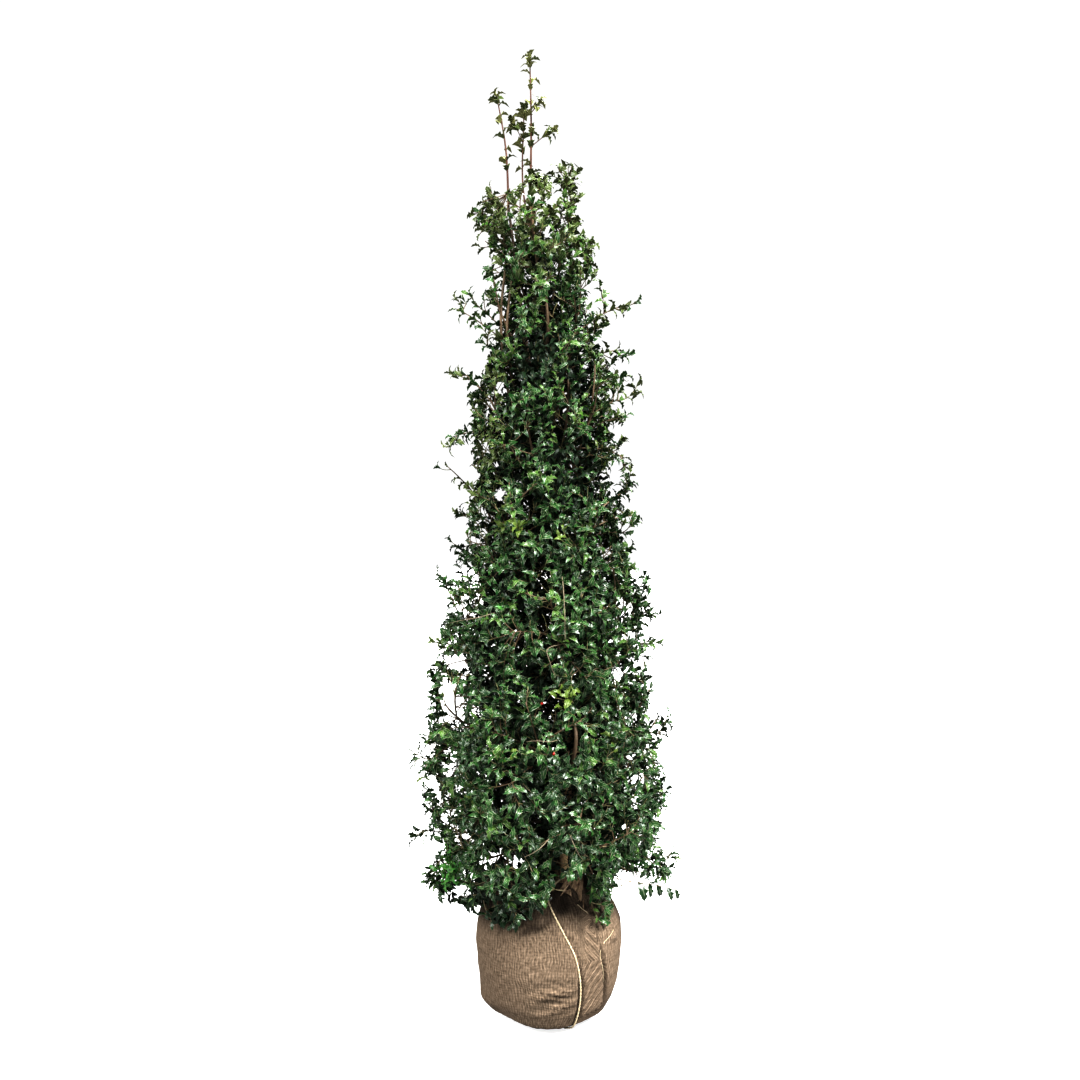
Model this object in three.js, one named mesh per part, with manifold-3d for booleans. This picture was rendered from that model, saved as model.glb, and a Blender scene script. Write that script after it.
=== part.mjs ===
// Root-balled holly, a narrow evergreen column on a burlap-wrapped ball of earth.
// Millimetres, +Z up. The origin is the middle of the flat underside of the root ball,
// and the front of the plant faces -Y.
import * as THREE from 'three';
import { mergeVertices } from 'three/addons/utils/BufferGeometryUtils.js';
import Module from 'manifold-3d';

const wasm = await Module();
wasm.setup();

// ---- Driving dimensions ----------------------------------------------------

const fitGap = 0.3; // clear space between touching pieces
const limbClearance = 2.5; // leaves and twigs keep this far off the limbs
const spaceClearance = 3; // and this far from the border of their own space
const seamTolerance = 1e-3; // points this close are one

// Root ball: radius and height up its side, from the flat underside to the top.
const ball = {
  radii: [0, 118, 166, 187, 200, 209, 212, 208, 199, 181, 152, 112, 0],
  heights: [0, 0, 26, 66, 115, 165, 225, 285, 328, 364, 390, 404, 404],
  around: 22,
  rings: 11,
  lumps: [3, 2.4], // how far it stands out of round, twice and three times round
  lumpHeight: 380, // up to which it does
  lumpTwist: 85, // height over which the threefold lumps turn by a radian
  bulge: 13, // the low corner that sags out on the left
  bulgeHeight: 62,
  bulgeSpread: 46,
  blendRadius: 100, // the lumps fade inside this radius
  middle: 210, // height of the point that a sunken place moves towards
};
const ballTop = ball.heights[ball.heights.length - 1];

// Gathered cloth round the foot of the trunk, with a tail that flops to the right.
const collar = {
  foot: 54,
  mouth: 52,
  height: 42,
  rises: [0, 0.25, 0.4, 0.7, 1], // of its rings, as shares of the height
  waist: 10, // how far the twine draws it in
  waistSpread: 0.3,
  tail: 50, // how far the tail stands out
  tailTurn: -14,
  tailFrom: 0.4, // share of the height at which the tail starts
  tailDroop: 0.22,
  pleats: 6,
  pleatDepth: 3.5,
  ruffle: 4,
  boreClearance: 1.5,
  boreFlare: 12,
  around: 18,
};

// Twine that ties the cloth: a ring round the collar, and a strand down the front,
// under the ball and up the back. Each stop is an azimuth in degrees and a share of
// the way up the ball's profile.
const twine = {
  radius: 2.6,
  sides: 5,
  steps: 28,
  sunk: 0.6, // how deep its middle lies in the cloth
  lowShare: 0.2, // below this it lies wholly in its groove, so that the ball stands flat
  lowSunk: 3.6, // and this deep
  lowHeight: 8, // up to here its groove is open downwards
  ringRise: 0.4, // how far up the collar the ring lies, as a share
  stops: [
    [268, 0.8], [271, 0.73], [280, 0.64], [291, 0.54], [297, 0.43], [299, 0.33], [298, 0.24],
    [297, 0.18], [297.5, 0.155], [300, 0.09], [60, 0.09], [65.5, 0.155], [66, 0.18], [70, 0.3],
    [72, 0.45], [74, 0.6], [76, 0.73], [80, 0.8],
  ],
};

// Limbs: centreline stops, the radius at the foot and at the tip.
const trunk = {
  path: [
    [44, 0, ballTop - 6], [45, -1, 440], [50, -2, 560], [58, -4, 830], [42, 2, 1120],
    [14, 6, 1600], [-12, 3, 2020], [-44, 0, 2290], [-54, 0, 2420],
  ],
  foot: 14,
  tip: 4,
  thinning: 0.85,
  flare: 8, // extra radius at the ground
  flareHeight: 45,
  sides: 10,
  steps: 18,
};
const uprights = [
  {
    name: 'upright_stem_left',
    path: [[28, 4, 1330], [-10, -34, 1600], [-74, -34, 2030], [-118, -10, 2370]],
  },
  {
    name: 'upright_stem_right',
    path: [[22, 4, 1450], [62, 34, 1700], [62, 34, 2030], [62, 12, 2270]],
  },
];
const upright = { foot: 6.5, tip: 3.6, sides: 6, steps: 7 };

// Boughs stand in tiers. Each tier says where its lowest bough leaves the trunk, how far
// up the next ones follow, where the stems of its foliage end, how many there are, and the
// azimuth of the first. In the last tiers the stems grow from the trunk itself.
const tiers = [
  { name: 'foot', from: 486, step: 24, to: 520, count: 5, first: 18, leaf: 112 },
  { name: 'lower', from: 600, step: 38, to: 870, count: 5, first: 52, leaf: 118 },
  { name: 'waist', from: 800, step: 52, to: 1190, count: 4, first: 10, leaf: 118 },
  { name: 'middle', from: 1040, step: 60, to: 1500, count: 4, first: 58, leaf: 116 },
  { name: 'shoulder', from: 1330, step: 80, to: 1800, count: 3, first: 75, leaf: 114 },
  { name: 'upper', from: 1640, step: 80, to: 2070, count: 3, first: 90, leaf: 100, onTrunk: true },
  { name: 'neck', from: 1960, step: 64, to: 2300, count: 3, first: 150, leaf: 80, onTrunk: true },
];
const boughReach = 0.3; // share of the crown's radius at which a bough ends
const stemReach = 0.78; // and at which the stem of its foliage ends
const boughRise = 0.36; // share of the climb that the bough makes
const boughShare = 0.5; // share of the whole limb that is bough, before its foliage
const turnSpread = 0.25; // how far the azimuths stray, as a share of the even step
const tipSpread = 50; // and the heights of the tips
const bough = { foot: 7, tip: 3.8, sides: 5, steps: 2 };
const stem = { foot: 4.6, tip: 3.4, sides: 5, steps: 3 };

// Leading shoots above the crown: the foot sits on a limb, the tip is the true tip.
const leaders = [
  { name: 'leading_shoot', foot: [-54, 0, 2420], bow: [-52, 0, 2620], tip: [-56, 0, 2797] },
  { name: 'leading_shoot_left', foot: [-118, -10, 2370], bow: [-126, -8, 2540], tip: [-152, -4, 2680] },
  { name: 'leading_shoot_rear', foot: [-34, 2, 2220], bow: [-76, 56, 2440], tip: [-82, 62, 2650] },
  { name: 'leading_shoot_right', foot: [62, 12, 2270], bow: [66, 8, 2370], tip: [60, 4, 2450] },
];
const leader = { foot: 3, tip: 1.8, sides: 3, steps: 5, bare: 0.1 };
const leaderLeaf = {
  spacing: 42,
  length: 54,
  angle: 62,
  tipLength: 40,
  rosette: 3, // leaves crowded at the tip
  rosetteFrom: 4, // the first stands this far under the tip
  rosetteStep: 6,
  rosetteShare: 0.8, // of a leaf's length
  rosetteAngle: 50,
};

// The crown's outline: radius at each height, about an axis that leans with height.
const crown = {
  heights: [318, 430, 640, 900, 1180, 1460, 1740, 1930, 2090, 2300, 2420],
  radii: [215, 318, 350, 336, 300, 256, 236, 224, 168, 160, 112],
  axisHeights: [400, 2050, 2450],
  axisX: [-15, -15, -52],
  tips: 136,
  topTips: 18,
  topFrom: 2090,
  tipReach: 0.9, // the least share of the outline that a tip reaches
  lobes: [0.05, 0.04], // twice and five times round, as shares of the radius
  lobeTwist: [170, 90], // height over which each turns by a radian
};

// Tips of the sprays that reach furthest out of the outline.
const farTips = [
  [370, -30, 382], [276, -60, 380], [354, 20, 822], [306, -40, 985], [312, 10, 1200], [292, -30, 1296],
  [274, 10, 1472], [240, -30, 1632], [258, 0, 1890], [222, -40, 1812], [242, 10, 2098], [112, -20, 2262],
  [340, -20, 640], [-402, 10, 545], [-388, -30, 716], [-366, 20, 1003], [-334, -20, 1082], [-284, 20, 1372],
  [-310, -10, 1626], [-304, -40, 1694], [-262, 10, 1900], [-286, -10, 2086], [-216, 30, 2080],
  [-220, -10, 2330], [-178, -30, 2426], [-350, -20, 436], [-250, -90, 330], [-90, -232, 318],
  [-150, -205, 330], [165, -130, 340], [14, -6, 2598], [-18, -20, 2690], [90, 0, 2462], [-12, -10, 2440],
  [30, 250, 2080], [-60, 330, 700], [120, -290, 1000], [-100, -270, 1500], [60, 300, 1250],
];

// Twigs and leaves. The leaf's sizes are shares of its length.
const twig = {
  foot: 2.3,
  tip: 2,
  steps: 2,
  first: 0.12, // share of the stem at which the first may leave it
  bend: 0.14, // how far it bows along the stem, as a share of its length
  leafy: 0.62, // the outer share that has leaves
  least: 0.3, // of it stays a twig, however long its last leaf
};
const leaf = {
  width: 0.6,
  rise: 0.012, // of its sides over the midrib
  keel: 0.022, // of the midrib under it
  arch: 0.07, // how far the middle stands over the line from base to tip
  droop: 0.1, // how far the tip hangs
  widest: 0.46,
  angle: 52, // from the twig, in degrees
  most: 3, // on one twig, beside the last
  sizes: [0.84, 1.12], // the least and the greatest, beside the last
  tilts: [0.9, 1.4], // outwards, against one part upwards
};
// The faceted lump inside a dense mass: where on the stem its middle lies, the shares of
// the crown's radius between which it stays, and millimetres.
const core = { from: 0.26, inner: 0.38, outer: 0.6, reach: 86, lowest: 500, clearance: 7, step: 6 };

const bark = { color: 0x5b4a38, roughness: 0.85, metalness: 0 };
const foliage = { color: 0x1f4422, roughness: 0.4, metalness: 0 };
const youngFoliage = { color: 0x4b6b26, roughness: 0.42, metalness: 0 };
const burlap = { color: 0x7c6449, roughness: 0.95, metalness: 0 };
const twineFinish = { color: 0xd8c8a4, roughness: 0.9, metalness: 0 };

// ---- Small helpers ---------------------------------------------------------

const goldenAngle = Math.PI * (3 - Math.sqrt(5));
const radians = (degrees) => (degrees * Math.PI) / 180;
const vector = ([x, y, z]) => new THREE.Vector3(x, y, z);

// A number from 0 to 1 that looks random and is the same every time.
function chance(index, kind) {
  const wave = Math.sin(index * 12.9898 + kind * 78.233) * 43758.5453;
  return wave - Math.floor(wave);
}

// Straight-line reading of a table.
function reading(x, xs, ys) {
  if (x <= xs[0]) return ys[0];
  const next = xs.findIndex((value) => value >= x);
  if (next < 0) return ys[ys.length - 1];
  const share = (x - xs[next - 1]) / (xs[next] - xs[next - 1]);
  return ys[next - 1] + share * (ys[next] - ys[next - 1]);
}

// A geometry as a solid, with its seams closed.
function solidOf(geometry) {
  const plain = geometry.index ? geometry.toNonIndexed() : geometry.clone();
  plain.deleteAttribute('normal');
  plain.deleteAttribute('uv');
  const merged = mergeVertices(plain, seamTolerance);
  const corners = merged.index.array;
  const kept = [];
  for (let i = 0; i < corners.length; i += 3) {
    const [a, b, c] = [corners[i], corners[i + 1], corners[i + 2]];
    if (a !== b && b !== c && a !== c) kept.push(a, b, c);
  }
  return new wasm.Manifold(new wasm.Mesh({
    numProp: 3,
    vertProperties: new Float32Array(merged.attributes.position.array),
    triVerts: new Uint32Array(kept),
  }));
}

// A solid back as a geometry.
function geometryOf(solid) {
  const mesh = solid.getMesh();
  const positions = new Float32Array(mesh.numVert * 3);
  for (let i = 0; i < mesh.numVert; i++) {
    const start = i * mesh.numProp;
    positions.set(mesh.vertProperties.subarray(start, start + 3), i * 3);
  }
  return new THREE.BufferGeometry()
    .setAttribute('position', new THREE.BufferAttribute(positions, 3))
    .setIndex(new THREE.BufferAttribute(new Uint32Array(mesh.triVerts), 1));
}

// Moves each vertex of a geometry as the rule says.
function reshaped(geometry, rule) {
  const position = geometry.attributes.position;
  const point = new THREE.Vector3();
  for (let i = 0; i < position.count; i++) {
    rule(point.fromBufferAttribute(position, i));
    position.setXYZ(i, point.x, point.y, point.z);
  }
  return geometry;
}

const union = (solids) => wasm.Manifold.union(solids);

// The largest body of a solid, without loose scraps and with any sealed hollow filled.
// Closing the seams can part a thin neck, so it is done until one body is left.
function largest(solid) {
  let bodies = [solid];
  do {
    const whole = bodies.reduce((best, body) => (body.volume() > best.volume() ? body : best));
    bodies = solidOf(geometryOf(whole)).decompose();
  } while (bodies.length > 1);
  return bodies[0];
}

// A closed tube along a curve: a capped cylinder whose rings are set across the curve.
function tube(curve, radiusAt, sides, steps) {
  const frames = curve.computeFrenetFrames(steps, false);
  const centres = curve.getSpacedPoints(steps);
  const geometry = new THREE.CylinderGeometry(1, 1, 1, sides, steps);
  return solidOf(reshaped(geometry, (p) => {
    const share = 0.5 - p.y;
    const ring = Math.round(share * steps);
    const radius = radiusAt(ring / steps);
    const across = frames.normals[ring].clone().multiplyScalar(p.x * radius);
    const over = frames.binormals[ring].clone().multiplyScalar(p.z * radius);
    p.copy(centres[ring]).add(across).add(over);
  }));
}

// ---- Root ball, collar and twine -------------------------------------------

// Arc length up the ball's profile at each of its points, as a share of the whole.
const profileShares = (() => {
  const lengths = [0];
  for (let i = 1; i < ball.radii.length; i++) {
    const step = Math.hypot(ball.radii[i] - ball.radii[i - 1], ball.heights[i] - ball.heights[i - 1]);
    lengths.push(lengths[i - 1] + step);
  }
  return lengths.map((length) => length / lengths[lengths.length - 1]);
})();

// How far the ball's side stands in or out of round at an azimuth and a height.
function ballLumps(azimuth, z) {
  const soft = Math.sin(Math.PI * Math.min(1, z / ball.lumpHeight));
  const twofold = ball.lumps[0] * Math.sin(2 * azimuth + 0.6);
  const threefold = ball.lumps[1] * Math.sin(3 * azimuth - z / ball.lumpTwist);
  const rise = (z - ball.bulgeHeight) / ball.bulgeSpread;
  const low = Math.exp(-(rise ** 2)) * Math.max(0, Math.cos(azimuth - Math.PI)) ** 3;
  return soft * (twofold + threefold) + ball.bulge * low;
}

// A point of the ball's surface at an azimuth and a share of its profile.
function ballPoint(azimuth, share, sunk = 0) {
  const z = reading(share, profileShares, ball.heights);
  const radius = reading(share, profileShares, ball.radii);
  const blend = Math.min(1, radius / ball.blendRadius);
  const outwards = radius + blend * ballLumps(azimuth, z);
  const point = new THREE.Vector3(outwards * Math.cos(azimuth), outwards * Math.sin(azimuth), z);
  if (!sunk) return point;
  const inwards = new THREE.Vector3(0, 0, ball.middle).sub(point).normalize();
  if (z < 1) inwards.set(0, 0, 1);
  return point.addScaledVector(inwards, sunk);
}

function ballSolid() {
  const profile = [];
  for (let i = 0; i <= ball.rings; i++) {
    const share = i / ball.rings;
    profile.push(new THREE.Vector2(i === 0 || i === ball.rings ? 0 : 1, share));
  }
  const geometry = new THREE.LatheGeometry(profile, ball.around);
  // The flat underside ends on a ring of its own, so that its edge stays level.
  const flatShare = profileShares[1];
  return solidOf(reshaped(geometry, (p) => {
    const azimuth = Math.atan2(p.x, p.z);
    const raw = p.y * ball.rings;
    const share = raw <= 1 ? raw * flatShare : flatShare + ((raw - 1) / (ball.rings - 1)) * (1 - flatShare);
    const centred = Math.hypot(p.x, p.z) < 0.5;
    if (centred) p.set(0, 0, p.y < 0.5 ? 0 : ballTop);
    else p.copy(ballPoint(azimuth, share));
  }));
}

const trunkFoot = vector(trunk.path[0]);
const collarFoot = ballTop + fitGap;

// Radius of the collar's outside at an azimuth and a share of its height.
function collarRadius(azimuth, rise) {
  const pleats = collar.pleatDepth * Math.sin(collar.pleats * azimuth) * (0.3 + rise);
  const facing = Math.max(0, Math.cos(azimuth - radians(collar.tailTurn))) ** 3;
  const tail = collar.tail * facing * (Math.max(0, rise - collar.tailFrom) / (1 - collar.tailFrom));
  const waist = collar.waist * Math.exp(-(((rise - twine.ringRise) / collar.waistSpread) ** 2));
  return collar.foot + (collar.mouth - collar.foot) * rise - waist + pleats + tail;
}

function collarSolid() {
  const profile = collar.rises.map((rise) => new THREE.Vector2(2, rise));
  profile.push(new THREE.Vector2(1, 0.8), new THREE.Vector2(1, 0), new THREE.Vector2(2, 0));
  const geometry = new THREE.LatheGeometry(profile, collar.around);
  return solidOf(reshaped(geometry, (p) => {
    const azimuth = Math.atan2(p.x, p.z);
    const rise = p.y;
    const isOutside = Math.hypot(p.x, p.z) > 1.5;
    const bore = trunk.foot + trunk.flare + collar.boreClearance + collar.boreFlare * rise;
    const radius = isOutside ? collarRadius(azimuth, rise) : bore;
    const droop = isOutside ? collar.tailDroop * Math.max(0, radius - collar.mouth) : 0;
    const ruffle = collar.ruffle * Math.sin(collar.pleats * azimuth + 1) * rise;
    p.set(
      trunkFoot.x + radius * Math.cos(azimuth),
      trunkFoot.y + radius * Math.sin(azimuth),
      collarFoot + collar.height * rise + ruffle - droop,
    );
  }));
}

// The twine, grown by the same amount all round: a ring and a strand that meets it twice.
function twineSolid(grown) {
  const radius = twine.radius + grown;
  const ringZ = collarFoot + collar.height * twine.ringRise;
  const ringAt = (azimuth) => {
    const out = collarRadius(azimuth, twine.ringRise) - twine.sunk;
    const level = new THREE.Vector3(Math.cos(azimuth), Math.sin(azimuth), 0);
    return new THREE.Vector3(trunkFoot.x, trunkFoot.y, ringZ).addScaledVector(level, out);
  };
  const strand = twine.stops.map(([degrees, share]) => {
    return ballPoint(radians(degrees), share, share < twine.lowShare ? twine.lowSunk : twine.sunk);
  });
  const outer = [twine.stops[0], twine.stops[twine.stops.length - 1]];
  const ends = outer.map(([degrees]) => ringAt(radians(degrees)));
  const curve = new THREE.CatmullRomCurve3([ends[0], ...strand, ends[1]], false, 'centripetal');
  const down = tube(curve, () => radius, twine.sides, twine.steps);
  const middle = collar.foot;
  const torus = new THREE.TorusGeometry(middle, radius, twine.sides, collar.around);
  const ring = solidOf(reshaped(torus, (p) => {
    const azimuth = Math.atan2(p.y, p.x);
    const off = Math.hypot(p.x, p.y) - middle;
    const rise = p.z;
    const centre = ringAt(azimuth);
    p.set(centre.x + off * Math.cos(azimuth), centre.y + off * Math.sin(azimuth), centre.z + rise);
  }));
  return union([down, ring]);
}

// ---- Limbs -----------------------------------------------------------------

const curveThrough = (path) => new THREE.CatmullRomCurve3(path.map(vector), false, 'centripetal');

function trunkRadius(share) {
  const climbed = share * (trunk.path[trunk.path.length - 1][2] - ballTop);
  const flare = trunk.flare * Math.exp(-climbed / trunk.flareHeight);
  return trunk.foot + (trunk.tip - trunk.foot) * share ** trunk.thinning + flare;
}

// A limb has a curve and a radius along it. Grown, it is thicker and longer by a gap.
function limbSolid(limb, grown = 0) {
  const solid = tube(limb.curve, (share) => limb.radiusAt(share) + grown, limb.sides, limb.steps);
  if (!grown) return solid;
  const { point, tangent } = placeOn(limb.line, 1);
  const onward = new THREE.LineCurve3(point, point.clone().addScaledVector(tangent, grown));
  return union([solid, tube(onward, () => limb.radiusAt(1) + grown, limb.sides, 1)]);
}

const taper = (foot, tip) => (share) => foot + (tip - foot) * share;

const trunkLimb = {
  name: 'trunk',
  curve: curveThrough(trunk.path),
  radiusAt: trunkRadius,
  sides: trunk.sides,
  steps: trunk.steps,
};

// The trunk's centre at a height.
function trunkAt(z) {
  const heights = trunk.path.map((stop) => stop[2]);
  const xs = trunk.path.map((stop) => stop[0]);
  const ys = trunk.path.map((stop) => stop[1]);
  return new THREE.Vector3(reading(z, heights, xs), reading(z, heights, ys), z);
}

function crownRadius(azimuth, z) {
  const twofold = crown.lobes[0] * Math.sin(2 * azimuth + z / crown.lobeTwist[0]);
  const fivefold = crown.lobes[1] * Math.sin(5 * azimuth - z / crown.lobeTwist[1]);
  return reading(z, crown.heights, crown.radii) * (1 + twofold + fivefold);
}

// A point at a share of the crown's radius, out from its axis.
function crownPoint(azimuth, z, share) {
  const radius = crownRadius(azimuth, z) * share;
  const middle = reading(z, crown.axisHeights, crown.axisX);
  return new THREE.Vector3(middle + radius * Math.cos(azimuth), radius * Math.sin(azimuth), z);
}

// The stretch of a quadratic curve between two shares of it.
function stretchOf(whole, from, to) {
  const foot = whole.getPoint(from);
  const tip = whole.getPoint(to);
  const heading = whole.v1.clone().sub(whole.v0).lerp(whole.v2.clone().sub(whole.v1), from);
  return new THREE.QuadraticBezierCurve3(foot, foot.clone().addScaledVector(heading, to - from), tip);
}

const limbs = [trunkLimb];
const stems = [];

for (const one of uprights) {
  limbs.push({
    name: one.name,
    curve: curveThrough(one.path),
    radiusAt: taper(upright.foot, upright.tip),
    sides: upright.sides,
    steps: upright.steps,
  });
}

tiers.forEach((tier, level) => {
  for (let i = 0; i < tier.count; i++) {
    const index = level * 10 + i;
    const azimuth = radians(tier.first + (360 / tier.count) * (i + turnSpread * (chance(index, 1) - 0.5)));
    const from = tier.from + tier.step * ((2 * i) % tier.count);
    const foot = trunkAt(from);
    const joint = crownPoint(azimuth, from + (tier.to - from) * boughRise, boughReach);
    const tip = crownPoint(azimuth, tier.to + tipSpread * (chance(index, 2) - 0.5), stemReach);
    const whole = new THREE.QuadraticBezierCurve3(foot, joint, tip);
    const split = tier.onTrunk ? 0 : boughShare;
    const clear = tier.onTrunk ? 0 : (fitGap + 0.05) / whole.getLength();
    const letter = 'abcde'[i];
    if (!tier.onTrunk) {
      limbs.push({
        name: `bough_${tier.name}_${letter}`,
        curve: stretchOf(whole, 0, split),
        radiusAt: taper(bough.foot, bough.tip),
        sides: bough.sides,
        steps: bough.steps,
      });
    }
    stems.push({
      name: `foliage_${tier.name}_${letter}`,
      curve: stretchOf(whole, split + clear, 1),
      radiusAt: taper(stem.foot, stem.tip),
      sides: stem.sides,
      steps: stem.steps,
      leafLength: tier.leaf,
      hasCore: !tier.onTrunk,
    });
  }
});

for (const one of leaders) {
  const curve = new THREE.CatmullRomCurve3([one.foot, one.bow, one.tip].map(vector), false, 'centripetal');
  stems.push({
    name: one.name,
    curve,
    radiusAt: taper(leader.foot, leader.tip),
    sides: leader.sides,
    steps: leader.steps,
    leafLength: leaderLeaf.length,
    isLeader: true,
  });
}

// The centreline of each as its solid has it, in straight stretches.
for (const one of [...limbs, ...stems]) one.line = one.curve.getSpacedPoints(one.steps);

// A place on such a line and its direction there.
function placeOn(line, share) {
  const along = Math.min(Math.max(share, 0), 0.9999) * (line.length - 1);
  const i = Math.floor(along);
  const point = line[i].clone().lerp(line[i + 1], along - i);
  return { point, tangent: line[i + 1].clone().sub(line[i]).normalize() };
}

// ---- Spaces of the masses --------------------------------------------------

// Each point belongs to the mass whose stem passes nearest.
const onLine = new THREE.Line3();
const nearest = new THREE.Vector3();

function distanceTo(line, point) {
  let least = Infinity;
  for (let i = 1; i < line.length; i++) {
    onLine.set(line[i - 1], line[i]).closestPointToPoint(point, true, nearest);
    least = Math.min(least, nearest.distanceTo(point));
  }
  return least;
}

function ownerOf(point) {
  let owner = null;
  let least = Infinity;
  for (const one of stems) {
    const distance = distanceTo(one.line, point);
    if (distance < least) [least, owner] = [distance, one];
  }
  return owner;
}

// Whether a point lies in a mass's own space, this far from the border.
function inSpace(owner, point, clearance) {
  const own = distanceTo(owner.line, point);
  return stems.every((one) => one === owner || distanceTo(one.line, point) - own > 2 * clearance);
}

// ---- Growth rule -----------------------------------------------------------

// Tips in a golden spiral between two heights, sharing the outline's surface evenly.
function spiralTips(count, low, high, kind) {
  const areas = [0];
  const steps = 200;
  for (let i = 1; i <= steps; i++) {
    const z = low + ((high - low) * (i - 0.5)) / steps;
    areas.push(areas[i - 1] + reading(z, crown.heights, crown.radii));
  }
  const shares = areas.map((area) => area / areas[steps]);
  const rows = shares.map((_, i) => low + ((high - low) * i) / steps);
  return Array.from({ length: count }, (_, i) => {
    const z = reading((i + 0.5) / count, shares, rows);
    return crownPoint(i * goldenAngle + kind, z, crown.tipReach + (1 - crown.tipReach) * chance(i, kind));
  });
}

// How far along a mass's stem the nearest place to a point is, as a share.
function nearestShare(line, point) {
  const marks = 24; // tried
  let least = Infinity;
  let share = 0;
  for (let i = 0; i <= marks; i++) {
    const distance = placeOn(line, i / marks).point.distanceTo(point);
    if (distance < least) [least, share] = [distance, i / marks];
  }
  return share;
}

// A spray leaves its stem at a share of its length and curves out to its tip. The twig
// ends where the last leaf begins, so that the leaf's own tip is the spray's.
function sprayTo(tip, owner, share, index) {
  const { point: start, tangent } = placeOn(owner.line, share);
  const length = start.distanceTo(tip);
  const bend = start.clone().lerp(tip, 0.5).addScaledVector(tangent, length * twig.bend);
  const whole = new THREE.QuadraticBezierCurve3(start, bend, tip);
  const end = Math.max(twig.least, 1 - owner.leafLength / length);
  const curve = new THREE.QuadraticBezierCurve3(start, start.clone().lerp(bend, end), whole.getPoint(end));
  return { line: curve.getSpacedPoints(twig.steps), length, owner, tip, index };
}

// A three-sided body along a row of rings. Each ring has a middle, a half width, and how
// far its sides stand over the middle and its keel hangs under it, as seen with up on top.
// A ring with no size is a point.
function loft(rings, along, up) {
  const side = new THREE.Vector3().crossVectors(along, up).normalize();
  const lift = new THREE.Vector3().crossVectors(side, along).normalize();
  const steps = rings.length - 1;
  const corner = { x: Math.sin(Math.PI / 3), z: Math.cos(Math.PI / 3) };
  const geometry = new THREE.CylinderGeometry(1, 1, 1, 3, steps);
  return solidOf(reshaped(geometry, (p) => {
    const ring = rings[Math.round((0.5 - p.y) * steps)];
    const across = (p.x / corner.x) * ring.half;
    const over = p.z < 0 ? (-p.z / corner.z) * ring.rise : -p.z * ring.keel;
    p.copy(ring.middle).addScaledVector(side, across).addScaledVector(lift, over);
  }));
}

const pointRing = (middle) => ({ middle, half: 0, rise: 0, keel: 0 });
const roundRing = (middle, radius) => ({
  middle, half: radius * Math.sin(Math.PI / 3), rise: radius / 2, keel: radius,
});

// The rings of a leaf blade from its base to its tip.
function bladeRings(base, tip, up) {
  const length = base.distanceTo(tip);
  const middle = base.clone().lerp(tip, leaf.widest).addScaledVector(up, leaf.arch * length);
  const half = (leaf.width * length) / 2;
  const widest = { middle, half, rise: leaf.rise * length, keel: leaf.keel * length };
  return [widest, pointRing(tip)];
}

// Points across a blade, for the tests of its space.
function bladePoints(base, tip, up) {
  const along = tip.clone().sub(base);
  const side = new THREE.Vector3().crossVectors(along, up).normalize();
  return [0.25, leaf.widest, 0.73, 1].flatMap((share) => {
    const fullness = share < leaf.widest ? share / leaf.widest : (1 - share) / (1 - leaf.widest);
    const half = (fullness * leaf.width * along.length()) / 2;
    return [-half, 0, half].map((across) => (
      base.clone().addScaledVector(along, share).addScaledVector(side, across)
    ));
  });
}

// The direction of a leaf that leaves a shoot at an angle, turned about the shoot.
function leafHeading(tangent, turn, angle) {
  const level = Math.abs(tangent.z) < 0.9 ? new THREE.Vector3(0, 0, 1) : new THREE.Vector3(1, 0, 0);
  const across = new THREE.Vector3().crossVectors(tangent, level).normalize();
  const over = new THREE.Vector3().crossVectors(across, tangent);
  return tangent.clone().multiplyScalar(Math.cos(angle))
    .addScaledVector(across, Math.sin(angle) * Math.cos(turn))
    .addScaledVector(over, Math.sin(angle) * Math.sin(turn))
    .normalize();
}

// The trunk ends in a level cut just over the ball.
const cutSize = 100;
const under = new THREE.BoxGeometry(cutSize, cutSize, cutSize);
under.translate(trunkFoot.x, trunkFoot.y, collarFoot - cutSize / 2);
const trunkSolid = limbSolid(trunkLimb).subtract(solidOf(under));
const trunkGrown = limbSolid(trunkLimb, fitGap);
const limbSolids = new Map([['trunk', trunkSolid]]);
for (const limb of limbs.slice(1)) {
  limbSolids.set(limb.name, largest(limbSolid(limb).subtract(trunkGrown)));
}

const allGrown = union([trunkGrown, ...limbs.slice(1).map((limb) => limbSolid(limb, fitGap))]);
const allClear = union(limbs.map((limb) => limbSolid(limb, limbClearance)));

const twineWhole = twineSolid(0);
const twineGrown = twineSolid(fitGap);
const collarRaw = collarSolid();
const bareBall = ballSolid();
// Under the ball the groove is open downwards.
const low = new THREE.BoxGeometry(2 * ball.middle, 2 * ball.middle, 2 * twine.lowHeight);
const lowGroove = twineGrown.intersect(solidOf(low)).translate([0, 0, -twine.radius]);
const ballWhole = largest(bareBall.subtract(union([twineGrown, lowGroove])));
const collarWhole = largest(collarRaw.subtract(twineGrown).subtract(trunkGrown));
const keepClear = union([allClear, bareBall, collarRaw, twineWhole]);

const free = (solid, obstacle) => solid.intersect(obstacle).isEmpty();

// Leaves face up and outwards.
function upFor(root, index) {
  const middle = new THREE.Vector3(reading(root.z, crown.axisHeights, crown.axisX), 0, root.z);
  const outwards = root.clone().sub(middle).normalize();
  const tilt = leaf.tilts[0] + (leaf.tilts[1] - leaf.tilts[0]) * chance(index, 5);
  return new THREE.Vector3(0, 0, 1).addScaledVector(outwards, tilt).normalize();
}

const bladeInSpace = (owner, base, tip, up) => (
  bladePoints(base, tip, up).every((point) => inSpace(owner, point, spaceClearance))
);

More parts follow.
